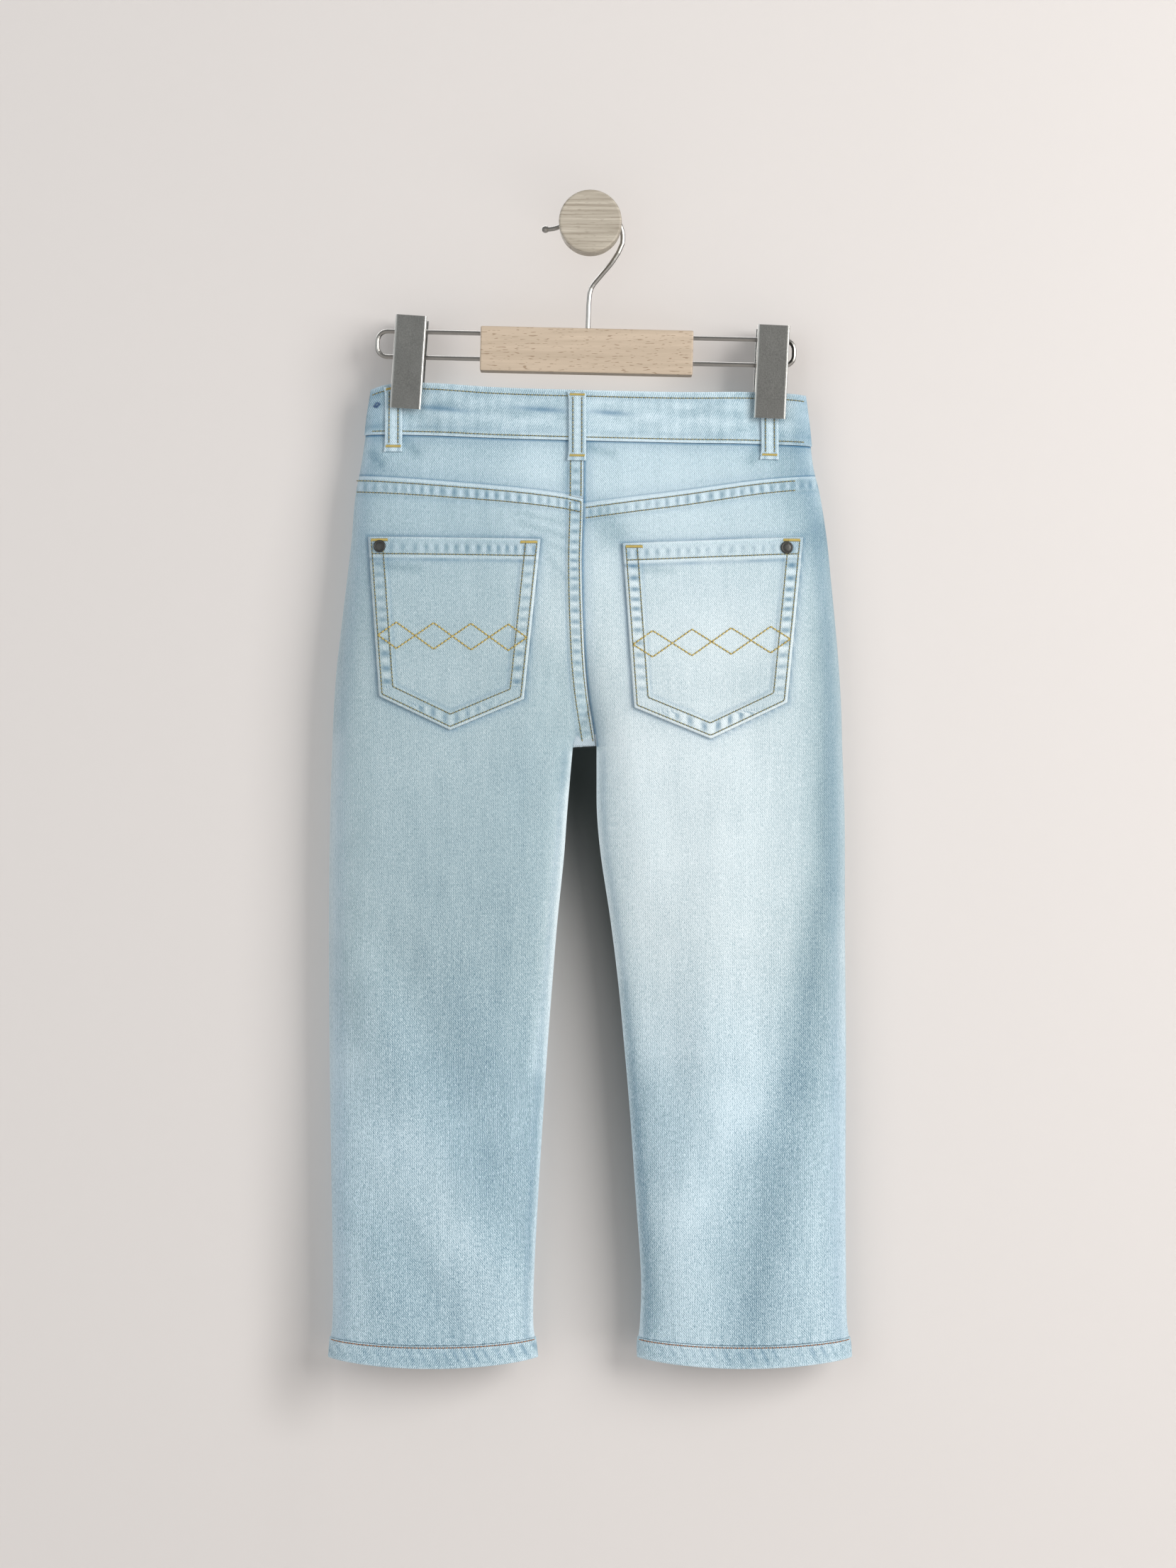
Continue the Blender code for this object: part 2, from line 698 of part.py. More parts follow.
def on_cloth(face, side, x, drop, proud):
    """The place of something round that lies on the cloth, as a matrix whose Y axis points out."""
    across = cloth_point(face, side, x + 3, drop) - cloth_point(face, side, x - 3, drop)
    down = cloth_point(face, side, x, drop + 3) - cloth_point(face, side, x, drop - 3)
    out = across.cross(down).normalized()
    if out.y * face < 0:
        out.negate()
    turn = Vector((0, 1, 0)).rotation_difference(out).to_matrix().to_4x4()
    return Matrix.Translation(cloth_point(face, side, x, drop) + out * proud) @ turn


def turned(name, profile, kind, sides, place):
    """A turned solid. profile holds (radius, y) from one end of the axis, along Y, to the other."""
    shape = bmesh.new()
    points = [shape.verts.new((r, y, 0)) for r, y in profile]
    edges = [shape.edges.new(pair) for pair in zip(points, points[1:])]
    full_turn = 2 * math.pi
    bmesh.ops.spin(shape, geom=points + edges, axis=(0, 1, 0), cent=(0, 0, 0), angle=full_turn, steps=sides)
    bmesh.ops.remove_doubles(shape, verts=shape.verts, dist=0.001)
    return place_object(name, mesh_of(name, shape), kind, place)


def stud_profile(radius, height):
    """The profile of a rivet or button head: a raised rim round a shallow dish."""
    return [(0, 0), (radius * 0.94, 0), (radius, 0.25 * height), (radius * 0.92, 0.7 * height),
            (radius * 0.72, 0.92 * height), (radius * 0.62, 0.78 * height), (0, 0.86 * height)]


def hip_facing(name, side):
    """The cloth that shows in a front pocket's mouth, between the waistband and the side seam."""
    low_edge = sheared_row(1, side, front_top, WAISTBAND_HEIGHT, WAISTBAND_HEIGHT, 1)[:MOUTH_COLUMN + 1]
    low_edge = [(x, drop - SEAM_GAP) for x, drop in low_edge]
    low_edge[-1] = between(low_edge[-1], low_edge[-2], 0.08)
    base = between_seams(1, side, low_edge, 6)
    normals = grid_normals(base, 1)
    for line in normals:
        line[0] = Vector((side, 0, 0))
    sunk = [[-s for s in FACING_SINK] for _ in base]
    inside = [[-CLOTH - s / 2 for s in FACING_SINK] for _ in base]
    return wall(name, moved(base, normals, sunk), moved(base, normals, inside))


def fly():
    """The fly's outer flap, with its curved lower end, on the left front."""
    rows = []
    for share in FLY_ROWS:
        drop = WAISTBAND_HEIGHT + 0.5 + (FLY_DROP - WAISTBAND_HEIGHT) * share
        start = along(CENTRE_SEAM, 1, drop) - SEAM_GAP
        curve = max(0.0, (share - 0.72) / 0.30)
        width = FLY_WIDTH * math.sqrt(1 - curve * curve)
        rows.append([(-1, start - width * s, drop, 0.0) for s in FLY_COLUMNS])
    return laid_on("fly", 1, rows, FLY_GAP, CLOTH)


def wire(name, path, radius, thickness=None):
    """A round bar of metal along a path. thickness scales the radius at each point."""
    curve = bpy.data.curves.new(name, "CURVE")
    curve.dimensions = "3D"
    curve.bevel_depth = radius * MM
    curve.bevel_resolution = 2
    curve.use_fill_caps = True
    spline = curve.splines.new("POLY")
    spline.points.add(len(path) - 1)
    for i, place in enumerate(path):
        spline.points[i].co = (*(place * MM), 1)
        spline.points[i].radius = thickness[i] if thickness else 1
    return place_object(name, curve, "wire")


def through(points, steps):
    """A smooth curve through points of a plane, with steps stretches between neighbours."""
    table = [(i, *point) for i, point in enumerate(points)]
    count = (len(points) - 1) * steps
    return [(along(table, 1, i / steps), along(table, 2, i / steps)) for i in range(count + 1)]


def hanger_turn():
    """The hanger's small lean about the middle of its bar."""
    centre = Vector((BAR_CENTRE[0], MID_Y, BAR_CENTRE[1]))
    turn = Matrix.Rotation(math.radians(-HANGER_TILT), 4, "Y")
    return Matrix.Translation(centre) @ turn


def rounded_box(name, size, radius, place, kind):
    """A box with rounded edges."""
    shape = bmesh.new()
    bmesh.ops.create_cube(shape, size=1)
    bmesh.ops.scale(shape, vec=size, verts=shape.verts)
    thing = place_object(name, mesh_of(name, shape), kind, place)
    bevel = thing.modifiers.new("edges", "BEVEL")
    bevel.width = radius * MM
    bevel.segments = 2
    return thing


def hanger():
    """The wooden bar, the two wire loops in its ends and the hook."""
    place = hanger_turn()
    rounded_box("hanger_bar", BAR_SIZE, BAR_EDGE, place, "beech")
    place = place @ Matrix.Translation(Vector((0, 0, WIRE_RISE)))
    start = BAR_SIZE[0] / 2 + SEAM_GAP
    upper = WIRE_SPACING / 2
    for name, turn, end in (("wire_loop_left", -1, WIRE_END_X[0]), ("wire_loop_right", 1, WIRE_END_X[1])):
        reach = turn * (end - BAR_CENTRE[0])
        corner = arc((reach - WIRE_BEND, upper - WIRE_BEND), WIRE_BEND, 90, 0, 6)
        half = [(start, upper), (start + 20, upper)] + corner
        path = half + [(x, -z) for x, z in reversed(half)]
        wire(name, [place @ Vector((turn * x, 0, z)) for x, z in path], WIRE_RADIUS)


def hook():
    """The wire hook: up from the bar, aside, over the peg and out to a ball."""
    bend = arc(HOOK_CENTRE, HOOK_BEND_RADIUS, *HOOK_BEND, 19)
    path = through(HOOK_STEM, 3) + bend + through([bend[-1]] + HOOK_TAIL, 2)[1:]
    thickness = [1.0] * len(path)
    for k in range(7):
        angle = math.radians(-42 + 21 * k)
        path.append((HOOK_BALL_X - HOOK_BALL_RADIUS * math.sin(angle), path[-1][1]))
        thickness.append(HOOK_BALL_RADIUS * math.cos(angle) / HOOK_RADIUS)
    wire("hanger_hook", [Vector((x, MID_Y, z)) for x, z in path], HOOK_RADIUS, thickness)


def clip(name, middle_x, middle_z, lean, width):
    """A spring clip: two channelled plates, rubber pads and the steel sleeve round the wires."""
    turn = Matrix.Rotation(math.radians(-lean), 4, "Y")
    frame = Matrix.Translation(Vector((middle_x, MID_Y, middle_z))) @ turn
    slant = math.atan((CLIP_TOP_GAP - CLIP_JAW_GAP) / CLIP_LENGTH)
    plate_gap = (CLIP_TOP_GAP + CLIP_JAW_GAP) / 2
    pad_size = (width - 2 * PAD_MARGIN, PAD_THICKNESS, PAD_HEIGHT)
    pad_z = PAD_RISE + (PAD_HEIGHT - CLIP_LENGTH) / 2
    for side_name, face in (("outer", -1), ("wall", 1)):
        leaning = Matrix.Rotation(-face * slant, 4, "X")
        plate = frame @ Matrix.Translation(Vector((0, face * plate_gap, 0))) @ leaning
        channel(f"clip_{name}_{side_name}_plate", plate, face, width)
        place = frame @ Matrix.Translation(Vector((0, face * PAD_CLOTH_GAP, pad_z)))
        rounded_box(f"clip_{name}_{side_name}_pad", pad_size, PAD_EDGE, place, "rubber")
    sleeve(f"clip_{name}_sleeve", frame, middle_x, middle_z)


def bent_sheet(name, profile, ends, place, closed=False):
    """A strip of steel sheet bent along a profile of (x, y), between two ends along Z."""
    shape = bmesh.new()
    rows = [[shape.verts.new((x, y, z)) for x, y in profile] for z in ends]
    pairs = list(zip(range(len(profile)), range(1, len(profile))))
    if closed:
        pairs.append((len(profile) - 1, 0))
    for j, k in pairs:
        shape.faces.new((rows[0][j], rows[0][k], rows[1][k], rows[1][j]))
    thing = place_object(name, mesh_of(name, shape), "steel_plate", place)
    sheet = thing.modifiers.new("sheet", "SOLIDIFY")
    sheet.thickness = CLIP_SHEET * MM
    sheet.offset = -1
    sheet.use_even_offset = True
    return thing


def arc(centre, radius, start, end, steps):
    """Points of an arc in a plane, its angles in degrees."""
    angles = [math.radians(start + (end - start) * k / steps) for k in range(steps + 1)]
    return [(centre[0] + radius * math.cos(a), centre[1] + radius * math.sin(a)) for a in angles]


def channel(name, place, face, width):
    """A plate with both long edges bent in."""
    half = width / 2
    shoulder = CLIP_SHEET - CLIP_BEND
    profile = [(half, -CLIP_FLANGE)] + arc((half - CLIP_BEND, shoulder), CLIP_BEND, 0, 90, 4)
    profile += arc((CLIP_BEND - half, shoulder), CLIP_BEND, 90, 180, 4) + [(-half, -CLIP_FLANGE)]
    profile = [(x, face * y) for x, y in profile]
    return bent_sheet(name, profile, (-CLIP_LENGTH / 2, CLIP_LENGTH / 2), place)


def sleeve(name, frame, middle_x, middle_z):
    """A closed steel strip round both wires, between the plates."""
    slope = math.tan(math.radians(HANGER_TILT))
    wire_z = BAR_CENTRE[1] + WIRE_RISE + slope * (middle_x - BAR_CENTRE[0])
    centre_z = SLEEVE_SIZE[2] / 2 - SLEEVE_CORNER
    centre_y = SLEEVE_SIZE[1] / 2 - SLEEVE_CORNER
    profile = []
    for quarter, (z, y) in enumerate(((1, 1), (-1, 1), (-1, -1), (1, -1))):
        start = 90 * quarter
        profile += arc((z * centre_z, y * centre_y), SLEEVE_CORNER, start, start + 90, 4)
    turn = Matrix.Rotation(math.radians(90), 4, "Y")
    place = frame @ Matrix.Translation(Vector((0, 0, wire_z - middle_z))) @ turn
    return bent_sheet(name, profile, (-SLEEVE_SIZE[0] / 2, SLEEVE_SIZE[0] / 2), place, closed=True)


def wall_knob():
    """The turned wooden knob: a round head on a peg, whose flat back face is fixed to the wall."""
    flat = KNOB_RADIUS - KNOB_EDGE
    bevel = 0.3 * KNOB_EDGE
    profile = [
        # radius, y
        (0, KNOB_FRONT_Y),
        (flat, KNOB_FRONT_Y),
        (KNOB_RADIUS - bevel, KNOB_FRONT_Y + bevel),
        (KNOB_RADIUS, KNOB_FRONT_Y + KNOB_EDGE),
        (KNOB_RADIUS, KNOB_BACK_Y - KNOB_EDGE),
        (KNOB_RADIUS - bevel, KNOB_BACK_Y - bevel),
        (flat, KNOB_BACK_Y),
        (PEG_RADIUS + 1.5, KNOB_BACK_Y),
        (PEG_RADIUS + 0.4, KNOB_BACK_Y + 0.6),
        (PEG_RADIUS, KNOB_BACK_Y + 2),
        (PEG_RADIUS, 0),
        (0, 0),
    ]
    turned("wall_knob", profile, "grey_wood", KNOB_SIDES, None)


def main():
    for thing in list(bpy.data.objects):
        bpy.data.objects.remove(thing)
    leg_panel("back_left", -1, -1, yoke_seam)
    leg_panel("back_right", -1, 1, yoke_seam)
    leg_panel("front_left", 1, -1, front_top)
    leg_panel("front_right", 1, 1, front_top)
    yoke("yoke_left", -1)
    yoke("yoke_right", 1)
    waistband()
    hem("hem_left", -1)
    hem("hem_right", 1)
    for side_name, side in (("left", -1), ("right", 1)):
        corners = POCKETS[side_name]
        patch_pocket(f"back_pocket_{side_name}", side, corners)
        place = on_cloth(-1, side, *corners["rivet"], RIVET_LIFT)
        profile = stud_profile(RIVET_RADIUS, RIVET_HEIGHT)
        turned(f"rivet_{side_name}", profile, "gunmetal", STUD_SIDES, place)
        hip_facing(f"hip_facing_{side_name}", side)
    for name, (middle, face, low) in LOOPS.items():
        belt_loop(name, middle, face, low)
    fly()
    place = on_cloth(1, -1, *BUTTON_PLACE, BUTTON_LIFT)
    turned("waist_button", stud_profile(BUTTON_RADIUS, BUTTON_HEIGHT), "gunmetal", STUD_SIDES, place)
    hanger()
    hook()
    for name, sizes in CLIPS.items():
        clip(name, *sizes)
    wall_knob()


main()
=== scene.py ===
"""Children's jeans on a clip hanger, seen from behind: the cloth, the sewing, finishes and light.

Lengths are in millimetres and turn into metres where a mesh is made. Places on the garment are x,
to the viewer's right, and drop, the distance below the waistband's top edge, both as numpy
arrays. Left and right are the viewer's. A face of -1 is the garment's back, towards the camera,
and 1 its front. A side of -1 is the left half and 1 the right half.
"""

import math

import bpy
import numpy as np
from mathutils import Matrix, Vector


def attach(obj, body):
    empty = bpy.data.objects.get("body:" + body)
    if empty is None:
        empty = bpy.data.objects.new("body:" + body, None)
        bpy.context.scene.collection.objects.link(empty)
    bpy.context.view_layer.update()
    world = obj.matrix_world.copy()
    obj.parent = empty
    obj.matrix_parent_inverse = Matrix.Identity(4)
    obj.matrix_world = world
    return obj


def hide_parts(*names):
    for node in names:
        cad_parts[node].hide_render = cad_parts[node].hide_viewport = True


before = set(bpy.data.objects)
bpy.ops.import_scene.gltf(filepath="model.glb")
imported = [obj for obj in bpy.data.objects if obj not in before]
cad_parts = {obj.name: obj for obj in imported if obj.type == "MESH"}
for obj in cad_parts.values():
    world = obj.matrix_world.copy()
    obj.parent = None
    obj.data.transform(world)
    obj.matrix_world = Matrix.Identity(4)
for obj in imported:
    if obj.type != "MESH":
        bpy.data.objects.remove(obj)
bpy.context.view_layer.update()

MM = 0.001
SIDES = ((-1, "left"), (1, "right"))
# The column of OUTLINE and INSEAMS that holds a side's x
COLUMN = {-1: 1, 1: 2}

# Main sizes of the garment
WAIST_Z = -107.6
WAISTBAND_HEIGHT = 33.0
YOKE_SIDE_DROP = 55.0
CROTCH_DROP = 230.5
HEM_TOP_DROP = 616.0
HEM_BOTTOM_DROP = 629.0
MID_Y = -22.0
CLOTH = 1.2
BAND_CLOTH = 2.4
SEAM_GAP = 0.3
FELLED_RISE = 0.6
FELLED_WIDTH = {"centre": 9.2, "yoke": 9.6}
BAND_PROUD = 0.8
HEM_PROUD = 0.7

# Nominal widths of one half and steps between the columns of the leg panels
HALF_WIDTHS = {"leg": 164, "yoke": 142, "hem": 134, "waistband": 138}
BACK_STEP = 2.4
FRONT_STEP = 3.6

# How the cloth hangs
ROLL_AT_HIPS = 52.0
ROLL_POWER = 2.4
CROTCH_SINK_START = 145.0
CLIP_X = (-118.2, 117.9)
CLIP_PINCH = 0.6
CLIP_PINCH_REACH = 22.0
CLIP_LIFT = (3.0, 2.0)
CLIP_LIFT_REACH = 40.0
WAIST_TILT = -0.0245
WAIST_RISE = 0.6
WAIST_HALF_WIDTH = 142.0
END_DROOP = {-1: 4.2, 1: 1.0}
BACK_HEM_BOW = (3.4, 5.2)
FRONT_HEM_BOW = 1.2

OUTLINE = np.array([
    # drop, left side seam x, right side seam x, half depth
    (0, -142.6, 140, 9.2),
    (20, -145.4, 142.6, 9.6),
    (34, -146.8, 144, 10.2),
    (48, -149.2, 145.8, 11.2),
    (68.5, -153.4, 150.2, 12.6),
    (96, -155.8, 154.4, 14.4),
    (124, -159, 157.2, 16),
    (151, -162.2, 159.8, 17.4),
    (179, -165.4, 162.2, 18.4),
    (206.5, -167.4, 163.8, 18.9),
    (230.5, -168.4, 164.4, 19),
    (275.5, -169.8, 166, 19),
    (344.5, -170.6, 166.2, 18.8),
    (427, -170.2, 166.9, 18.6),
    (524, -168.8, 166.6, 18.2),
    (579, -168, 167, 17.8),
    (607, -168.4, 167.6, 17.4),
    (620.5, -169.8, 169.6, 17.4),
    (632, -170.6, 170.2, 17.6),
])
INSEAMS = np.array([
    # drop, left leg's inseam x, right leg's inseam x
    (230.5, -11.3, 4.1),
    (248, -12.9, 4.1),
    (275.5, -15.2, 4.4),
    (303, -17.2, 7),
    (344.5, -21.4, 13.2),
    (386, -24.8, 18.3),
    (427, -27.9, 22.2),
    (469, -30.6, 25.8),
    (524, -34, 29.6),
    (579, -36.8, 33.2),
    (607, -37.2, 32.4),
    (620.5, -35.6, 31),
    (632, -34.4, 31.2),
])
YOKE_SEAM = {
    # for each side: distance from the centre seam, drop
    -1: np.array([(0, 70.3), (15, 67.2), (49, 63.2), (94, 59.7), (148, 56.3)]),
    1: np.array([(0, 74), (33, 69.6), (66, 65.4), (116, 57.9), (153, 53.9)]),
}
CENTRE_SEAM = np.array([
    # drop, x of the centre back and centre front seam
    (0, -4.4),
    (72, -4.6),
    (114, -5.6),
    (170, -3.9),
    (198, -1.4),
    (230.5, 3.7),
])
FOLDS = {
    # face: start x, start drop, end x, end drop, half width, height of the ridge
    -1: [
        (-18, 196, -44, 272, 11, -2), (-24, 150, -36, 190, 10, 1),
        (-158, 372, -50, 576, 22, 2.2), (-132, 362, -52, 540, 18, -1.8),
        (-146, 515, -96, 596, 16, -1.5), (92, 258, 76, 424, 22, 1.8),
        (76, 424, 46, 558, 20, 2.2), (140, 400, 92, 585, 20, -2.2),
        (34, 350, 64, 490, 16, -1.5), (154, 470, 120, 598, 16, 1.4),
        (20, 220, 34, 300, 12, 1.2),
    ],
    1: [
        (-20, 190, -52, 262, 12, -1.8), (20, 188, 50, 258, 12, -1.6),
        (-150, 350, -60, 500, 22, 1.8), (-130, 420, -56, 560, 18, -1.6),
        (84, 270, 96, 440, 22, 1.6), (130, 380, 60, 540, 20, -1.8),
    ],
}

# Where each face's cloth is paler, or bluer where the amount is negative: partly the fade of washing,
# partly painted shade and painted highlights along folds
WASH_AND_PAINTED_LIGHT = {
    # face: start x, start drop, end x, end drop, half width, amount
    -1: [
        (52, 66, 72, 160, 55, 0.12), (8, 82, 16, 92, 11, -0.24),
        (10, 120, 22, 230, 18, 0.07), (64, 186, 104, 192, 24, -0.13),
        (30, 235, 44, 420, 24, 0.17), (80, 190, 86, 300, 46, 0.21),
        (92, 356, 96, 450, 28, 0.17), (94, 470, 62, 535, 17, 0.14),
        (62, 535, 68, 615, 18, 0.12), (20, 390, 40, 605, 7, -0.16),
        (72, 12, 100, 14, 26, -0.12), (134, 40, 150, 90, 20, -0.26),
        (158, 90, 154.5, 322, 13, -0.34), (149.5, 345, 136, 445, 15, -0.30),
        (129, 468, 102, 610, 19, -0.20), (166, 480, 154, 620, 14, 0.05),
        (-32, 42, -26, 150, 22, 0.17), (-104, 290, -98, 410, 34, -0.06),
        (-16, 262, -34, 440, 6, 0.20), (-40, 250, -72, 450, 30, -0.09),
        (-168, 230, -168, 620, 8, 0.16), (-162, 440, -146, 520, 20, 0.14),
        (-118, 486, -90, 545, 20, 0.18), (-156, 556, -154, 612, 14, 0.13),
        (-64, 560, -46, 625, 24, 0.15), (-46, 79.5, -17, 86, 2, -0.14),
        (-44, 86.5, -16, 95, 2.2, -0.16), (-38, 95, -16, 104, 2.4, -0.12),
        (-30, 104, -17, 122, 2.6, -0.10), (-142, 44, -136, 50, 3.5, -0.24),
        (-112, 49, -34, 54, 11, 0.06), (-120, 37, -113, 43, 3.5, -0.22),
        (109, 37, 104, 44, 3.5, -0.20), (-14, 50, -17, 62, 2.5, -0.14),
        (0, 38, 14, 41, 3, -0.20), (-134, 114, -112, 116, 3, -0.16),
        (30, 116, 52, 117, 3, -0.16), (-66, 500, -58, 550, 20, -0.09),
    ],
    1: [
        (-96, 170, -90, 400, 42, 0.17), (98, 170, 92, 410, 42, 0.17),
    ],
}
# The back's right half is painted paler and its left half darker: partly a difference in wash, partly
# painted light from the right
SIDE_PAINTED_LIGHT_AND_WASH = 0.06
WASH_LEVELS = {"denim": 0.625, "denim_band": 0.68}

# Pockets on the back: corners as x and drop
ROUND_POCKET = ("top_left", "top_right", "low_right", "point", "low_left")
POCKETS = {
    "left": {
        "top_left": (-144.4, 94.8), "top_right": (-32.2, 96.4), "low_right": (-43.0, 200.5),
        "point": (-90.7, 220.5), "low_left": (-136.7, 198.5), "rivet": (-136.6, 101.2),
    },
    "right": {
        "top_left": (20.8, 99.3), "top_right": (138.2, 95.0), "low_right": (127.4, 202.7),
        "point": (77.9, 226.2), "low_left": (28.4, 205.8), "rivet": (127.3, 102.2),
    },
}
POCKET_GAP = 0.5
POCKET_HEM = 13.2
POCKET_SEAM = 10.4
POCKET_LINES = (2.1, 9.4)
POCKET_HEM_LINE = 11.1

# Belt loops: x of the middle, face and drop of the lower end
LOOP_WIDTH = 11.4
LOOP_CLOTH = 1.4
LOOP_GAP = 0.35
LOOPS = {
    "belt_loop_back_left": (-128.0, -1, 43.0),
    "belt_loop_back_centre": (-8.4, -1, 46.0),
    "belt_loop_back_right": (116.8, -1, 43.0),
    "belt_loop_front_left": (-84.0, 1, 44.0),
    "belt_loop_front_right": (80.0, 1, 44.0),
}

# Hollows across the back of the waistband: middle x, drop, length
BAND_CREASES = ((-31.0, 13.4, 18.0), (13.0, 14.5, 12.0), (-98.0, 16.0, 18.0))

# Front pockets and fly
FACING_WIDTH = 56.0
FACING_CLOTH = 0.5
HALF_AT_HIPS = 140.0
FRONT_POCKET_START = 88.0
FRONT_POCKET_END = 148.0
FRONT_POCKET_DEPTH = 64.0
MOUTH_CURVE = 0.85
FLY_WIDTH = 32.0
FLY_DROP = 122.0
FLY_GAP = 0.4

# The denim's colours, linear: from the bluest cloth to the palest, the blue beside seams and edges that is
# partly kept dye and partly painted shade, the wrong side
WASH_COLOURS = [
    (0.00, (0.105, 0.190, 0.260)),
    (0.25, (0.218, 0.322, 0.378)),
    (0.50, (0.366, 0.492, 0.540)),
    (0.75, (0.545, 0.662, 0.708)),
    (1.00, (0.790, 0.890, 0.930)),
]
BLUER = (0.945, 1.005, 1.055)
DYE_AND_PAINTED_SHADE_BLUE = (0.046, 0.168, 0.310)
WRONG_COLOURS = ((0.33, 0.45, 0.54), (0.68, 0.74, 0.77))
TWILL_TURN = (2 * math.pi / 1.25, -2 * math.pi / 1.54)
WARP_TURN = 2 * math.pi / 1.42
WEAVE_TURN = (2 * math.pi / 1.60, 2 * math.pi / 1.75)

# Thread: the knot's place, then stitches, the dark discs of painted shade where the needle pierced the
# cloth, lozenges and bartacks
KNOT = (-139.0, 12.5)
STITCH_PITCH = 2.45
STITCH_LENGTH = 1.85
STITCH_RADIUS = 0.41
STITCH_PLACES = np.array([-0.5, -0.3, 0.0, 0.3, 0.5])
STITCH_HEIGHTS = np.array([-0.30, 0.10, 0.17, 0.10, -0.30])
STITCH_GIRTHS = np.array([0.45, 0.95, 1.0, 0.95, 0.45])
HOLE_SHADE_LENGTH = 0.48
HOLE_SHADE_WIDTH = 0.42
LOZENGE_COUNT = 4
LOZENGE_HALF_HEIGHT = 8.5
LOZENGE_PITCH = 2.6
LOZENGE_RADIUS = 0.54
LOZENGES_DOWN = 0.62
TACK_PITCH = 0.26
TACK_RADIUS = 0.24
TACK_HEIGHTS = (-0.05, 0.30)
POCKET_TACK = (2.2, 13.0)
LOOP_TACK_DROPS = (3.3, 3.2)
LOOP_TACK_ENDS = (4.9, 4.7)
THREADS = {
    # base, light, and the colour of the painted shade at the stitches' ends and where the needle pierced
    # the cloth
    "khaki_thread": ((0.165, 0.158, 0.080), (0.390, 0.365, 0.190), (0.036, 0.050, 0.052)),
    "mustard_thread": ((0.480, 0.350, 0.065), (0.700, 0.550, 0.180), (0.150, 0.110, 0.040)),
    "rust_thread": ((0.300, 0.125, 0.060), (0.480, 0.260, 0.150), (0.050, 0.040, 0.045)),
    "indigo_thread": ((0.040, 0.090, 0.200), (0.110, 0.200, 0.360), (0.020, 0.040, 0.100)),
}

# Lines of topstitching: drops on the waistband, then distances from a seam, an edge or the middle
WAIST_LINES = (4.1, WAISTBAND_HEIGHT - 2.3)
YOKE_LINES = (2.3, 9.0)
FELL_LINES = (1.3, 8.3)
HEM_LINE = 1.2
MOUTH_LINES = (2.0, 8.0)
FLY_LINES = (2.4, 8.4)
LOOP_LINES = (-2.9, 2.9)
# How far left of the band's outer end each side's yoke lines start
YOKE_LINE_START = {-1: 7.0, 1: 9.0}

# Rivets
RIVET_PROUD = 0.25
RIVET_SIDES = 96
RIVET_KNURLS = 24
RIVET_PROFILE = (
    # radius, height, depth of the knurls
    (4, -0.3, 0), (4.05, 0.35, 0), (3.85, 0.75, 0), (3.45, 0.95, 0), (3.1, 0.85, 0.03),
    (2.85, 0.55, 0.03), (2.6, 0.62, 0), (2.2, 0.78, 0), (1.2, 0.86, 0), (0.2, 0.88, 0),
)

# Wood: base, streaks and flecks
BEECH_COLOURS = ((0.47, 0.375, 0.275), (0.66, 0.535, 0.410), (0.30, 0.205, 0.130))
KNOB_COLOURS = ((0.26, 0.215, 0.160), (0.64, 0.585, 0.490), (0.24, 0.195, 0.140))

# The studio, in metres but for WALL_Y. Lights hold place, size, power and colour
LIT_PLACE = (0.0, 0.0, -0.4)
LIGHTS = {
    "key": ((1.9, -1.8, 0.3), 1.6, 52, (1.0, 0.985, 0.965)),
    "fill": ((-1.5, -2.3, 0.0), 2.0, 15, (0.90, 0.965, 1.0)),
    "back": ((-0.6, 2.2, 0.8), 2.0, 32, (1, 1, 1)),
}
WORLD_COLOUR = (1.0, 0.99, 0.985)
WORLD_STRENGTH = 0.40
CAMERA_PLACE = (-0.0015, -2.2, -0.363)
LENS_MM = 76.6
SENSOR_MM = 36
FLOOR_Z = -1.1
WALL_Y = 0.6
WITHOUT_SHADOW = ("wall_knob", "hanger_hook", "hanger_bar")

# The wall's paint, and the shadow painted on the wall beside the left leg and behind the gap between the
# legs
WALL_COLOUR = (0.74, 0.705, 0.685)
PAINTED_SHADOW_COLOUR = (0.012, 0.017, 0.015)
LEG_SHADE = 0.15
GAP_SHADE = np.array([
    # drop, beside the left leg, beside the right leg
    (230, 0.96, 0.96),
    (262, 0.95, 0.96),
    (299, 0.80, 0.93),
    (346, 0.52, 0.89),
    (400, 0.32, 0.79),
    (486, 0.16, 0.62),
    (612, 0.03, 0.34),
    (632, 0, 0.12),
    (650, 0, 0),
    (700, 0, 0),
])


def smooth(low, high, value):
    """0 below low, 1 above high, and a smooth step between."""
    share = np.clip((value - low) / (high - low), 0.0, 1.0)
    return share * share * (3 - 2 * share)


def bump(distance, width):
    """1 where distance is 0, fading to 0 within about two widths."""
    return np.exp(-((distance / width) ** 2))


def along(table, column, drop):
    """A column of a table at any drops, on a smooth curve through its rows."""
    drops, values = table[:, 0], table[:, column]
    last = len(drops) - 1
    before = np.maximum(np.arange(last + 1) - 1, 0)
    after = np.minimum(np.arange(last + 1) + 1, last)
    slopes = (values[after] - values[before]) / (drops[after] - drops[before])
    drop = np.clip(drop, drops[0], drops[-1])
    i = np.clip(np.searchsorted(drops, drop, side="right") - 1, 0, last - 1)
    step = drops[i + 1] - drops[i]
    t = (drop - drops[i]) / step
    return (
        values[i] * (1 + 2 * t) * (1 - t) ** 2
        + slopes[i] * step * t * (1 - t) ** 2
        + values[i + 1] * t * t * (3 - 2 * t)
        - slopes[i + 1] * step * t * t * (1 - t)
    )


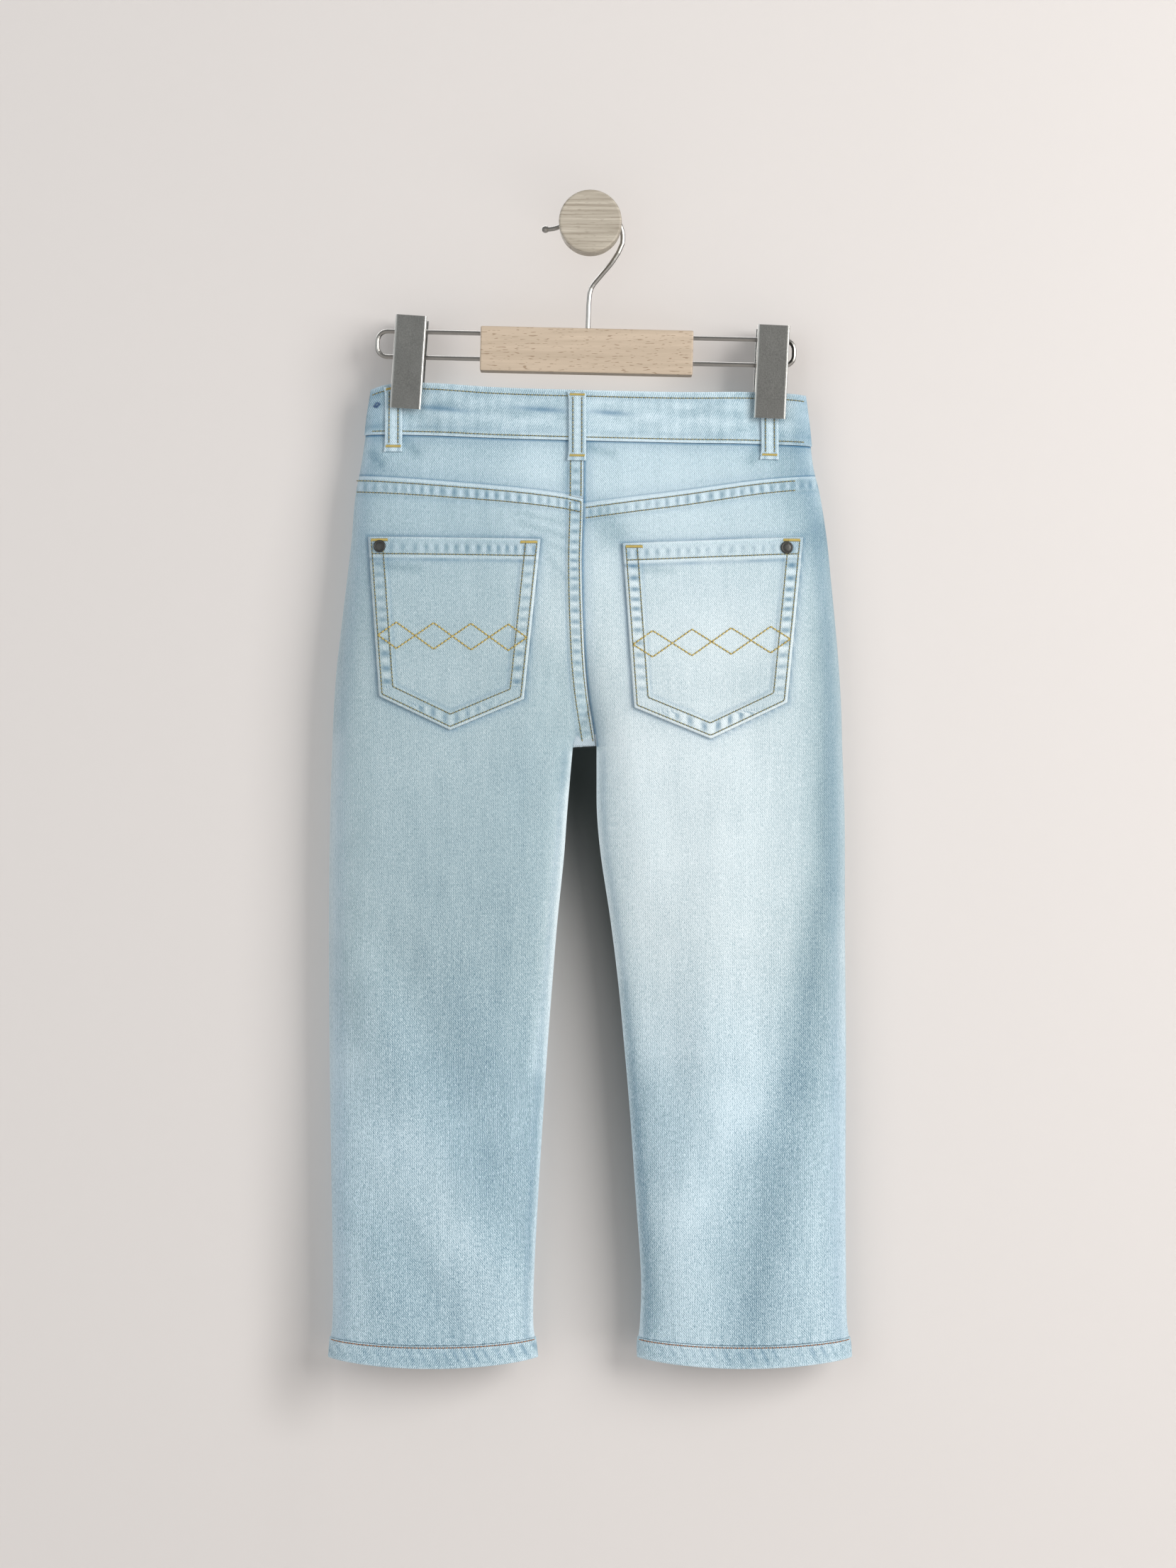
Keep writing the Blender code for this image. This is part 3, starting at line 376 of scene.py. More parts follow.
def edges_at(side, drop):
    """x of the side seam and of the inner edge of one half."""
    outer = along(OUTLINE, COLUMN[side], drop)
    centre = along(CENTRE_SEAM, 1, drop) + side * SEAM_GAP / 2
    return outer, np.where(drop <= CROTCH_DROP, centre, along(INSEAMS, COLUMN[side], drop))


def rise(share):
    """How far the cloth has come forward of its edge: 0 on the edge, 1 from share 1 on."""
    return np.sqrt(1 - (1 - np.clip(share, 0.0, 1.0)) ** ROLL_POWER)


def crotch_fall(drop):
    """How far the centre seam has sunk to the middle plane: 0 on the seat, 1 at the crotch."""
    return smooth(CROTCH_SINK_START, CROTCH_DROP, drop)


def pinch(x, drop):
    """The share of the depth that the clips leave."""
    nearest = np.minimum(np.abs(x - CLIP_X[0]), np.abs(x - CLIP_X[1]))
    return 1 - CLIP_PINCH * (1 - smooth(14, 62, drop)) * bump(nearest, CLIP_PINCH_REACH)


def fold_height(folds, x, drop):
    """How far a table's folds push the cloth out."""
    total = 0.0
    for x0, d0, x1, d1, width, height in folds:
        run_x, run_d = x1 - x0, d1 - d0
        t = np.clip(((x - x0) * run_x + (drop - d0) * run_d) / (run_x**2 + run_d**2), 0, 1)
        away = np.hypot(x - x0 - t * run_x, drop - d0 - t * run_d)
        total = total + height * bump(away, width)
    return total


def leg_edge(side, drop):
    """x of the inner edge that a leg rolls to: above the crotch it runs over into the centre seam."""
    inner = edges_at(side, drop)[1]
    leg_top = INSEAMS[0][COLUMN[side]]
    above = inner + (leg_top - inner) * smooth(CROTCH_DROP - 30, CROTCH_DROP, drop)
    return np.where(drop <= CROTCH_DROP, above, inner)


def depth(face, side, x, drop):
    """How far the cloth's outer surface stands from the garment's middle plane."""
    outer, inner = edges_at(side, drop)[0], leg_edge(side, drop)
    width = np.abs(inner - outer)
    roll = ROLL_AT_HIPS + (width / 2 - ROLL_AT_HIPS) * smooth(150, 260, drop)
    share = rise(np.abs(x - outer) / roll)
    share = share * (1 - crotch_fall(drop) * (1 - rise(np.maximum(0.0, side * (x - inner)) / roll)))
    return (along(OUTLINE, 3, drop) * pinch(x, drop) + fold_height(FOLDS[face], x, drop)) * share


def lift(x, drop):
    """How much higher than its drop says a point of the waist hangs."""
    clips = sum(h * bump(x - c, CLIP_LIFT_REACH) for c, h in zip(CLIP_X, CLIP_LIFT))
    droop = np.where(x < 0, END_DROOP[-1], END_DROOP[1]) * np.abs(x / WAIST_HALF_WIDTH) ** 14
    tilt = (WAIST_RISE + WAIST_TILT * x) * (1 - smooth(WAISTBAND_HEIGHT, 70, drop))
    return tilt + clips * (1 - smooth(0, 60, drop)) - droop * (1 - smooth(0, WAISTBAND_HEIGHT, drop))


def hem_bow(face, side, x, drop):
    """How much lower the hem hangs between its side edges."""
    outer, inner = edges_at(side, drop)
    share = np.clip((x - outer) / (inner - outer), 0.0, 1.0)
    bow = FRONT_HEM_BOW
    if face < 0:
        top_bow, low_bow = BACK_HEM_BOW
        bow = top_bow + (low_bow - top_bow) * smooth(HEM_TOP_DROP, HEM_BOTTOM_DROP, drop)
    return bow * 4 * share * (1 - share) * smooth(500, HEM_TOP_DROP, drop)


def cloth_point(face, side, x, drop, proud=0.0):
    """Points on the cloth's outer surface, moved out by proud."""
    x, drop, proud = np.broadcast_arrays(np.asarray(x, float), np.asarray(drop, float), proud)
    y = MID_Y + face * (SEAM_GAP / 2 + depth(face, side, x, drop) + proud)
    z = WAIST_Z - drop + lift(x, drop) - hem_bow(face, side, x, drop)
    return np.stack([x, y, z], axis=-1)


def yoke_seam(side, x):
    """Drop of the seam under the yoke, which dips to a V at the centre."""
    return along(YOKE_SEAM[side], 1, np.maximum(0.0, side * (x - CENTRE_SEAM[1][1])))


def front_top(side, x):
    """Drop of the front panel's upper edge: the waistband's seam, then the pocket mouth."""
    away = (side * x - FRONT_POCKET_START) / (FRONT_POCKET_END - FRONT_POCKET_START)
    return WAISTBAND_HEIGHT + FRONT_POCKET_DEPTH * np.maximum(0.0, away) ** MOUTH_CURVE


def ripples(x, drop, length, seed):
    """Smooth uneven waves between about -1 and 1."""
    dice = np.random.default_rng(seed)
    total = 0.0
    for _ in range(6):
        angle, phase = dice.uniform(0, 2 * math.pi, 2)
        turns = 2 * math.pi / (length * dice.uniform(0.6, 1.6))
        total = total + np.sin((x * math.cos(angle) + drop * math.sin(angle)) * turns + phase)
    return total / 3


def puckers(distance, seed, length=6.6):
    """Uneven waves along a seam, -1 to 1."""
    a, b, c = np.random.default_rng(seed).uniform(0, 6.28, 3)
    wander = 1.5 * np.sin(distance / 19 + a) + 0.8 * np.sin(distance / 7.3 + b)
    return np.sin(distance * 2 * math.pi / length + wander) * (0.7 + 0.3 * np.sin(distance / 31 + c))


def outline_distance(corners, x, drop):
    """Distance of points from a pocket's edge, less than 0 outside it, and from its top edge."""
    ends = [np.array(corners[name]) for name in ROUND_POCKET]
    away = []
    for a, b in zip(ends, ends[1:] + ends[:1]):
        run = (b - a) / np.hypot(*(b - a))
        away.append((drop - a[1]) * run[0] - (x - a[0]) * run[1])
    return np.minimum.reduce(away), away[0]


def wash_and_painted_light(face, side, x, drop):
    """How much paler than the denim's mean the cloth is: partly the fade of washing, partly painted shade
    and highlights along folds, and on the back painted light from the right.
    """
    return fold_height(WASH_AND_PAINTED_LIGHT[face], x, drop) + (SIDE_PAINTED_LIGHT_AND_WASH * side if face < 0 else 0.0)


def fell(look, where, away, waves, width, edge, shade):
    """A look with one flat-felled seam added, where its cloth lies and away from its edge."""
    rising, fade_and_painted_light, dye_and_painted_shade = look
    band = where * (1 - smooth(width, width + 0.9, away))
    rising = np.maximum(rising, band * FELLED_RISE + 0.16 * waves)
    fade_and_painted_light = fade_and_painted_light + 0.24 * waves + 0.30 * where * bump(away, edge)
    dye_and_painted_shade = dye_and_painted_shade + 0.48 * np.maximum(0.0, -waves) + shade * where * bump(away - width - 1.4, 0.9)
    return rising, fade_and_painted_light, dye_and_painted_shade


def felled(face, side, x, drop):
    """Rise, paleness and dark blue of the cloth beside the flat-felled seams of the back, with painted
    shade beside their ridges.
    """
    look = np.zeros((3, *x.shape))
    if face > 0:
        return look
    from_centre = np.abs(edges_at(side, drop)[1] - x)
    below = drop - yoke_seam(side, x)
    seat = drop < CROTCH_DROP + 0.5
    if side < 0:
        waves = puckers(drop, 11) * bump(from_centre - 4.8, 2.8) * seat
        look = fell(look, seat, from_centre, waves, FELLED_WIDTH["centre"], 1.0, 0.25)
    else:
        # Painted shade on the right half beside the centre seam's ridge
        look[2] += seat * (0.60 * bump(from_centre - 0.4, 1.2) + 0.16 * bump(from_centre - 3.0, 4.0))
    under = (below > -0.4) * 1.0
    waves = puckers(x, 12 + side) * bump(below - 5.8, 2.9) * under
    rising, fade_and_painted_light, dye_and_painted_shade = fell(look, under, below, waves, FELLED_WIDTH["yoke"], 1.1, 0.15)
    # Painted shade on the yoke just above the ridge of the seam under it
    dye_and_painted_shade += (1 - under) * (0.65 * bump(below + 0.3, 1.1) + 0.09 * bump(below + 3.5, 4.0))
    return rising, fade_and_painted_light, dye_and_painted_shade


def panel_look(face, side, x, drop):
    """Rise, paleness and dark blue of a leg panel or yoke, partly painted light and shade."""
    rising, fade_and_painted_light, dye_and_painted_shade = felled(face, side, x, drop)
    from_side, from_inseam = (np.abs(x - edge) for edge in edges_at(side, drop))
    rising += 0.18 * ripples(x, drop, 38, 21) * smooth(0, 20, from_side)
    below_band = drop - WAISTBAND_HEIGHT
    # Painted shade on the cloth just under the waistband's edge
    dye_and_painted_shade = dye_and_painted_shade + 0.75 * bump(below_band - 0.3, 0.9) + 0.12 * bump(below_band - 3.0, 3.0)
    hem_waves = puckers(x, 31) * bump(drop - HEM_TOP_DROP, 7)
    rising += 0.12 * hem_waves
    fade_and_painted_light += 0.10 * hem_waves
    legs = smooth(CROTCH_DROP, CROTCH_DROP + 6, drop)
    inseam_waves = 0.03 * puckers(drop, 33, 9) * bump(from_inseam - 5, 4)
    fade_and_painted_light += legs * (0.34 * bump(from_inseam, 2.0) + inseam_waves)
    dye_and_painted_shade += legs * 0.16 * bump(from_inseam - 4.6, 2.2)
    # Paler along the side seams, partly worn edges and partly a painted highlight on the rolled edges;
    # bluer just inside them, partly dye and partly painted shade
    fade_and_painted_light = fade_and_painted_light + 0.20 * bump(from_side, 7.0) + wash_and_painted_light(face, side, x, drop)
    dye_and_painted_shade += 0.20 * bump(from_side - 6.0, 6.0)
    if face < 0:
        # Painted shade round the outside of each back pocket
        for corners in POCKETS.values():
            away = -outline_distance(corners, x, drop)[0]
            outside = smooth(-1.5, 0.0, away)
            dye_and_painted_shade += outside * (0.38 * bump(away, 1.5) + 0.10 * bump(away, 5.0))
    else:
        mouth = drop - front_top(side, x)
        dye_and_painted_shade += 0.4 * bump(mouth + 0.8, 1.0)
        fade_and_painted_light += 0.3 * bump(mouth - 0.8, 1.0) * (side * x > FRONT_POCKET_START)
    return rising, fade_and_painted_light, dye_and_painted_shade


def pocket_look(side, corners, x, drop):
    """Rise, paleness and dark blue of a back pocket, partly painted light and shade."""
    seed = 71 + 5 * side
    from_edge, from_top = outline_distance(corners, x, drop)
    low = 0.5 * (corners["low_left"][1] + corners["low_right"][1])
    sideways = smooth(low - 8, low + 6, drop)
    run = drop * (1 - sideways) + x * sideways
    seam = (1 - smooth(POCKET_SEAM, POCKET_SEAM + 0.9, from_edge)) * (from_top > 4)
    hem = 1 - smooth(POCKET_HEM, POCKET_HEM + 0.9, from_top)
    rising = 0.5 * np.maximum(seam, hem) - 0.55 * (1 - smooth(0.0, 1.0, from_edge)) ** 2
    between = bump(from_edge - 5.8, 2.9) * smooth(POCKET_HEM, POCKET_HEM + 3, from_top)
    between = between * (1 - 3.8 * sideways * (1 - sideways))
    waves = puckers(run, seed, 7.6) * between
    in_hem = smooth(6, 12, from_edge + from_top)
    hem_waves = puckers(x, seed + 1, 6.6) * bump(from_top - 6.3, 3.6) * in_hem
    rising = rising + 0.2 * (waves + hem_waves) + 0.15 * ripples(x, drop, 26, seed + 2)
    fade_and_painted_light = 0.24 * waves + 0.16 * hem_waves + 0.30 * bump(from_edge, 1.1)
    fade_and_painted_light += 0.18 * bump(from_top - POCKET_HEM_LINE - 1.6, 0.9)
    dye_and_painted_shade = 0.55 * np.maximum(0.0, -waves) + 0.42 * np.maximum(0.0, -hem_waves)
    uneven = 0.7 + 0.3 * ripples(x, drop, 30, seed + 3)
    # Painted shade below the pocket hem's folded band and beyond the seam band
    dye_and_painted_shade += 0.45 * bump(from_top - POCKET_HEM - 1.5, 1.2) * uneven
    dye_and_painted_shade += 0.20 * bump(from_edge - POCKET_SEAM - 1.4, 1.0) * (from_top > POCKET_HEM)
    ends = corners["top_left"], corners["top_right"]
    dye_and_painted_shade += 0.17 * bump(np.minimum(*(np.hypot(x - at[0], drop - at[1]) for at in ends)), 17)
    return rising, fade_and_painted_light + wash_and_painted_light(-1, side, x, drop), dye_and_painted_shade


def band_look(face, side, x, drop):
    """Rise, paleness and dark blue of the waistband, partly painted light and shade."""
    edge = np.minimum(drop, WAISTBAND_HEIGHT - drop)
    by_seams = bump(drop - 8, 5) + bump(WAISTBAND_HEIGHT - 6 - drop, 5)
    rising = -0.5 * (1 - smooth(0, 2.2, edge)) ** 2 + 0.16 * puckers(x, 41 + side) * by_seams
    rising += 0.25 * ripples(x, 2 * drop, 30, 43) * smooth(2, 10, edge)
    fade_and_painted_light = 0.26 * bump(edge, 1.0) + 0.05 * puckers(x, 45, 9) + 0.08 * ripples(x, 3 * drop, 34, 46)
    dye_and_painted_shade = 0.12 * bump(edge - 5.4, 1.5)
    if face < 0:
        for middle, drop_at, length in BAND_CREASES:
            # Each crease is a hollow with painted shade in it
            crease = bump(x - middle, length) * bump(drop - drop_at - 0.04 * (x - middle), 1.7)
            rising -= 0.45 * crease
            dye_and_painted_shade = dye_and_painted_shade + 0.62 * crease
    return rising, fade_and_painted_light + wash_and_painted_light(face, side, x, drop), dye_and_painted_shade + 0.25 * bump(np.abs(x) - 141, 8)


def hem_look(face, side, x, drop):
    """Rise, paleness and dark blue of a hem, with the slanting ropes that washing gives it; its paleness is
    partly painted light.
    """
    edge = HEM_BOTTOM_DROP - drop
    below = drop - HEM_TOP_DROP
    slant = x - 0.55 * below
    rope = np.minimum(puckers(slant, 51 + side, 7.4), 0.25) * smooth(1.0, 4, below)
    rope = rope * (0.65 + 0.35 * ripples(slant, 0 * drop, 34, 53)) * (1 - 0.6 * smooth(7, 12, below))
    rising = 0.25 * rope - 0.5 * (1 - smooth(0, 1.6, edge)) ** 2
    fade_and_painted_light = 0.12 * rope + 0.14 * bump(edge, 1.4) + 0.06 * bump(below - 1.5, 1.4)
    dye_and_painted_shade = -0.42 * np.minimum(rope, 0) * (1 - 0.5 * smooth(6, 12, below))
    return rising, fade_and_painted_light + wash_and_painted_light(face, side, x, drop), dye_and_painted_shade


def loop_look(middle, low, x, drop):
    """Rise, paleness and dark blue of a belt loop."""
    edge = LOOP_WIDTH / 2 - np.abs(x - middle)
    end = np.minimum(drop - 1.5, low - drop)
    rising = -0.4 * (1 - smooth(0, 1.2, np.minimum(edge, end))) ** 2
    rising = rising + 0.12 * bump(x - middle, 1.8) + 0.07 * puckers(drop, 61, 5.0)
    rising = rising - 0.35 * bump(drop - 3.3, 0.9) - 0.35 * bump(low - 3.2 - drop, 0.9)
    fade_and_painted_light = 0.25 * bump(edge, 0.8) + 0.18 * bump(x - middle, 1.5) + 0.05 * puckers(drop, 62, 5.0)
    return rising, fade_and_painted_light, 0.25 * bump(edge - 2.4, 0.8)


def spread(start, stop, step):
    """Even steps of about a given size from start to stop."""
    return np.linspace(start, stop, max(2, int(round(abs(stop - start) / step)) + 1))


def joined(*parts):
    """Sorted numbers without near doubles."""
    numbers = np.sort(np.concatenate([np.atleast_1d(p) for p in parts]))
    return numbers[np.concatenate([[True], np.diff(numbers) > 0.02])]


def columns_of(width, step, outer_steps=16, fine=11.5, fine_step=0.7, seat_steps=0):
    """The columns of a piece, close together at both edges: millimetres and a share of its width.

    The last seat_steps columns share the strip that a half has on the seat and not on the leg.
    """
    by_edge = (np.arange(outer_steps + 1) / 4) ** 2
    by_inner = joined((np.arange(5) / 4) ** 2, spread(1, fine, fine_step))
    middle = width - by_edge[-1] - by_inner[-1]
    shares = spread(0, middle, step)[1:-1] / middle
    offsets = [by_edge, by_edge[-1] * (1 - shares) - by_inner[-1] * shares, -by_inner[::-1]]
    offsets, shares = np.concatenate(offsets), np.concatenate([0 * by_edge, shares, 0 * by_inner + 1])
    seat = np.concatenate([0 * offsets, np.arange(1, seat_steps + 1) / max(1, seat_steps)])
    return np.pad(offsets, (0, seat_steps)), np.pad(shares, (0, seat_steps), constant_values=1), seat


def across(side, drop, columns):
    """x of the columns of one half at each drop, from the side seam to the inner edge."""
    outer, inner = edges_at(side, drop)
    offsets, shares, seat = columns
    strip = np.maximum(np.abs(inner - leg_edge(side, drop)), 0.15) if seat[-1] else 0.0
    return outer - side * (offsets + shares * (np.abs(inner - outer) - strip) + seat * strip)


def fitted(side, columns, drop_at):
    """Grids of x and drop of a piece whose rows run at the drops that drop_at gives for x."""
    drop = np.full((1, 1), YOKE_SIDE_DROP)
    for _ in range(5):
        drop = drop_at(across(side, drop, columns))
    return across(side, drop, columns), drop


def unit(vectors):
    """Vectors made 1 long."""
    return vectors / np.maximum(np.linalg.norm(vectors, axis=-1, keepdims=True), 1e-9)


def run_lengths(points):
    """Distance along each row of points from its first one."""
    steps = np.linalg.norm(np.diff(points, axis=-2), axis=-1)
    return np.concatenate([0 * steps[..., :1], np.cumsum(steps, axis=-1)], axis=-1)


def normals_of(points, face):
    """Unit normals of a grid of points that point out of the garment's face."""
    normals = unit(np.cross(np.gradient(points, axis=1), np.gradient(points, axis=0)))
    middle = normals[len(points) // 2, points.shape[1] // 2]
    return normals if middle[1] * face > 0 else -normals


def arc_lengths(points):
    """Distance along each row of a grid of points, in step with x at its middle column."""
    run = run_lengths(points)
    middle = points.shape[1] // 2
    way = 1 if points[0, middle + 1, 0] > points[0, middle, 0] else -1
    return way * (run - run[:, middle:middle + 1]) + points[:, middle:middle + 1, 0]


def placed(name, data):
    """A new object in the scene."""
    thing = bpy.data.objects.new(name, data)
    bpy.context.scene.collection.objects.link(thing)
    return thing


def new_mesh(name, points, faces, material):
    """A mesh with one material. points are metres."""
    mesh = bpy.data.meshes.new(name)
    mesh.from_pydata(points.tolist(), [], faces)
    mesh.materials.append(material)
    return mesh


def add_values(mesh, title, numbers):
    """Gives a mesh one number for each point."""
    attribute = mesh.attributes.new(title, "FLOAT", "POINT")
    attribute.data.foreach_set("value", numbers.astype(np.float32))


def mesh_object(name, points, faces, material, uv=None, values=None):
    """A smooth object made from arrays, riding on the part's body. points are millimetres."""
    thing = placed(name, new_mesh(name, points * MM, faces, material))
    mesh = thing.data
    mesh.shade_smooth()
    if uv is not None:
        layer = mesh.uv_layers.new(name="Cloth")
        corner = np.zeros(len(mesh.loops), int)
        mesh.loops.foreach_get("vertex_index", corner)
        layer.data.foreach_set("uv", (uv[corner] * MM).ravel())
    for title, numbers in (values or {}).items():
        add_values(mesh, title, numbers)
    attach(thing, "root")
    return thing


def grid_faces(rows, columns, start=0):
    """Quads of a grid of points numbered row by row from start."""
    i, j = np.meshgrid(np.arange(rows - 1), np.arange(columns - 1), indexing="ij")
    corner = start + i * columns + j
    return np.stack([corner, corner + columns, corner + columns + 1, corner + 1], axis=-1).reshape(-1, 4)


def slab(name, outer, normals, thickness, look, material, uv):
    """A closed layer of cloth whose outer surface is a grid of points."""
    rows, columns = outer.shape[:2]
    size = rows * columns
    points = np.concatenate([outer.reshape(-1, 3), (outer - normals * thickness).reshape(-1, 3)])
    number = np.arange(size).reshape(rows, columns)
    rim = np.concatenate([number[0], number[1:, -1], number[-1][-2::-1], number[-2:0:-1, 0]])
    follow = np.roll(rim, -1)
    quads = np.concatenate([
        grid_faces(rows, columns),
        grid_faces(rows, columns, size)[:, ::-1],
        np.stack([rim, follow, follow + size, rim + size], axis=1),
    ])
    i, j = rows // 2, columns // 2
    turned = np.cross(outer[i + 1, j] - outer[i, j], outer[i, j + 1] - outer[i, j])
    if turned @ normals[i, j] < 0:
        quads = quads[:, ::-1]
    blank = np.zeros(size)
    sides = {"fade_and_painted_light": (look[1], blank), "dye_and_painted_shade": (look[2], blank), "wrong_side": (blank, blank + 1)}
    values = {key: np.concatenate([outside.ravel(), inside]) for key, (outside, inside) in sides.items()}
    layer = np.concatenate([uv.reshape(-1, 2)] * 2)
    thing = mesh_object(name, points, quads.tolist(), material, layer, values)
    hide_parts(name)


def sewn_piece(name, face, skin, look, x, drop, thickness, material, bound=False):
    """A piece of cloth on the back or front, from grids of x and drop. Returns its outer surface.

    bound pieces meet others at their first and last column.
    """
    outer = skin(x, drop)
    normals = normals_of(outer, face)
    if bound:
        side = -1 if x.mean() < CENTRE_SEAM[0][1] else 1
        normals[:, 0] = (side, 0, 0)
        on_seat = (drop[:, -1] <= CROTCH_DROP)[:, None]
        normals[:, -1] = unit(normals[:, -1] * np.where(on_seat, (0.0, 1.0, 1.0), (1.0, 0.0, 1.0)))
    uv = np.stack([-face * arc_lengths(outer), -drop], axis=-1)
    slab(name, outer, normals, thickness, look(x, drop), material, uv)
    return skin


def skin_of(face, side, gap, look):
    """A piece's outer surface, as points for any x and drop."""
    return lambda x, drop: cloth_point(face, side, x, drop, gap + look(x, drop)[0])


def leg_panel(name, face, side, top, step, material):
    """A leg panel, from its upper edge, at the drop top(side, x), to the hem."""
    start, seam_end, fine_step = (WAISTBAND_HEIGHT, 200, 1.5) if face > 0 else (YOKE_SIDE_DROP, 130, 0.7)
    rows = joined(
        spread(start, start + 12, 0.75 if face < 0 else 2.0),
        spread(start + 12, CROTCH_DROP - 6, step),
        spread(CROTCH_DROP - 6, CROTCH_DROP, 1.0),
        spread(CROTCH_DROP + 1, HEM_TOP_DROP - 8, step),
        spread(HEM_TOP_DROP - 8, HEM_TOP_DROP, 1.0),
    )[:, None]
    slant = 1 - smooth(start, seam_end, rows)
    gaps = np.zeros_like(rows)
    gaps[0], gaps[-1] = SEAM_GAP / 2, -SEAM_GAP / 2
    columns = columns_of(HALF_WIDTHS["leg"], step, fine_step=fine_step, seat_steps=14)
    x, drop = fitted(side, columns, lambda x: rows + gaps + (top(side, x) - start) * slant)
    look = lambda x, drop: panel_look(face, side, x, drop)
    skin = skin_of(face, side, 0.0, look)
    return sewn_piece(name, face, skin, look, x, drop, CLOTH, material, bound=True)


def yoke(name, side, material):
    """The V-shaped piece between the waistband and the back panel."""
    shares = spread(0, 1, 1 / 34)[:, None]
    level = WAISTBAND_HEIGHT + SEAM_GAP / 2
    x, drop = fitted(side, columns_of(HALF_WIDTHS["yoke"], 1.6), lambda x: level + shares * (
        yoke_seam(side, x) - SEAM_GAP / 2 - level))
    look = lambda x, drop: panel_look(-1, side, x, drop)
    skin = skin_of(-1, side, 0.0, look)
    return sewn_piece(name, -1, skin, look, x, drop, CLOTH, material, bound=True)


def ring_piece(name, stretches, drop, columns, look_of, proud, material, twist=1):
    """A ring of cloth round the waist or a leg, from stretches of it as face, side and direction."""
    points, looks = [], []
    closed = name != "waistband"
    for face, side, direction in stretches:
        x = across(side, drop, columns)
        look = look_of(face, side, x, drop)
        part = cloth_point(face, side, x, drop, proud + look[0])
        outer, inner = edges_at(side, drop)
        part[..., 0] += side * proud * bump(x - outer, 1.0)
        if closed:
            part[..., 0] -= side * proud * bump(x - inner, 1.0)
        points.append(part[:, ::direction])
        looks.append([np.broadcast_to(v, x.shape)[:, ::direction] for v in look])
    if closed:
        points.append(points[0][:, :1])
        looks.append([v[:, :1] for v in looks[0]])
    points = np.concatenate(points, axis=1)
    look = [np.concatenate(parts, axis=1) for parts in zip(*looks)]
    run = np.gradient(points, axis=1)
    normals = unit(np.stack([run[..., 1], -run[..., 0], 0 * run[..., 0]], axis=-1))
    if (normals * (points - points.mean(axis=(0, 1)))).sum() < 0:
        normals = -normals
    middle = points[0, :, 0][points[0, :, 1] < MID_Y]
    way = twist if middle[-1] > middle[0] else -twist
    uv = np.stack([way * run_lengths(points), np.broadcast_to(-drop, points.shape[:2])], axis=-1)
    slab(name, points, normals, BAND_CLOTH, look, material, uv)


def pocket_grid(corners, step):
    """Grids of x and drop over a five-cornered pocket."""
    ends = {key: np.array(value) for key, value in corners.items()}
    a = spread(0, 1, step / 112)[None, :, None]
    t = spread(0, 1, step / 126)[:, None, None]
    top = ends["top_left"] * (1 - a) + ends["top_right"] * a
    left = ends["low_left"] * (1 - 2 * a) + ends["point"] * 2 * a
    right = ends["point"] * (2 - 2 * a) + ends["low_right"] * (2 * a - 1)
    places = top * (1 - t) + np.where(a < 0.5, left, right) * t
    return places[..., 0], places[..., 1]


def back_pocket(side, word, material):
    """A patch pocket on the back. Returns its outer surface."""
    corners = POCKETS[word]
    look = lambda x, drop: pocket_look(side, corners, x, drop)
    skin = skin_of(-1, side, POCKET_GAP + CLOTH, look)
    x, drop = pocket_grid(corners, 0.95)
    return sewn_piece(f"back_pocket_{word}", -1, skin, look, x, drop, CLOTH, material)


def belt_loop(name, material):
    """A belt loop, wider at both ends, where it is folded under. Returns its outer surface."""
    middle, face, low = LOOPS[name]
    side = -1 if middle < CENTRE_SEAM[0][1] + 1 else 1
    over_fell = 0.7 if name.endswith("centre") else 0.0
    look = lambda x, drop: loop_look(middle, low, x, drop)

    def skin(x, drop):
        over_band = 0.9 * (1 - smooth(WAISTBAND_HEIGHT + 1, WAISTBAND_HEIGHT + 6, drop))
        bow = 0.3 * np.sin(np.pi * np.clip(drop / WAISTBAND_HEIGHT, 0, 1))
        gap = LOOP_GAP + LOOP_CLOTH + np.maximum(over_band, over_fell) + bow
        return cloth_point(face, side, x, drop, gap + look(x, drop)[0])

    drop = spread(1.5, low, 0.6)[:, None]
    flare = 1.6 * (bump(drop - 1.5, 3.5) + bump(drop - low, 4.0))
    share = spread(-0.5, 0.5, 0.05)
    x = middle + share * LOOP_WIDTH + np.minimum(share, 0) * flare
    return sewn_piece(name, face, skin, look, x, np.broadcast_to(drop, x.shape), LOOP_CLOTH, material)


def hip_facing(name, side, material):
    """The cloth that shows in a front pocket's mouth."""
    shares = spread(0, 1, 1 / 26)[:, None]
    level = WAISTBAND_HEIGHT + SEAM_GAP / 2
    offsets, shares_across, seat = columns_of(FACING_WIDTH, 1.8, fine=2)
    columns = (offsets, shares_across * (FACING_WIDTH / HALF_AT_HIPS), seat)
    x, drop = fitted(side, columns, lambda x: level + shares * np.maximum(
        0.6, front_top(side, x) - SEAM_GAP - level))
    look = lambda x, drop: panel_look(1, side, x, drop)
    sink = lambda x, drop: -0.7 * smooth(1, 12, np.abs(x - edges_at(side, drop)[0]))
    skin = lambda x, drop: cloth_point(1, side, x, drop, sink(x, drop))
    sewn_piece(name, 1, skin, look, x, drop, FACING_CLOTH, material)


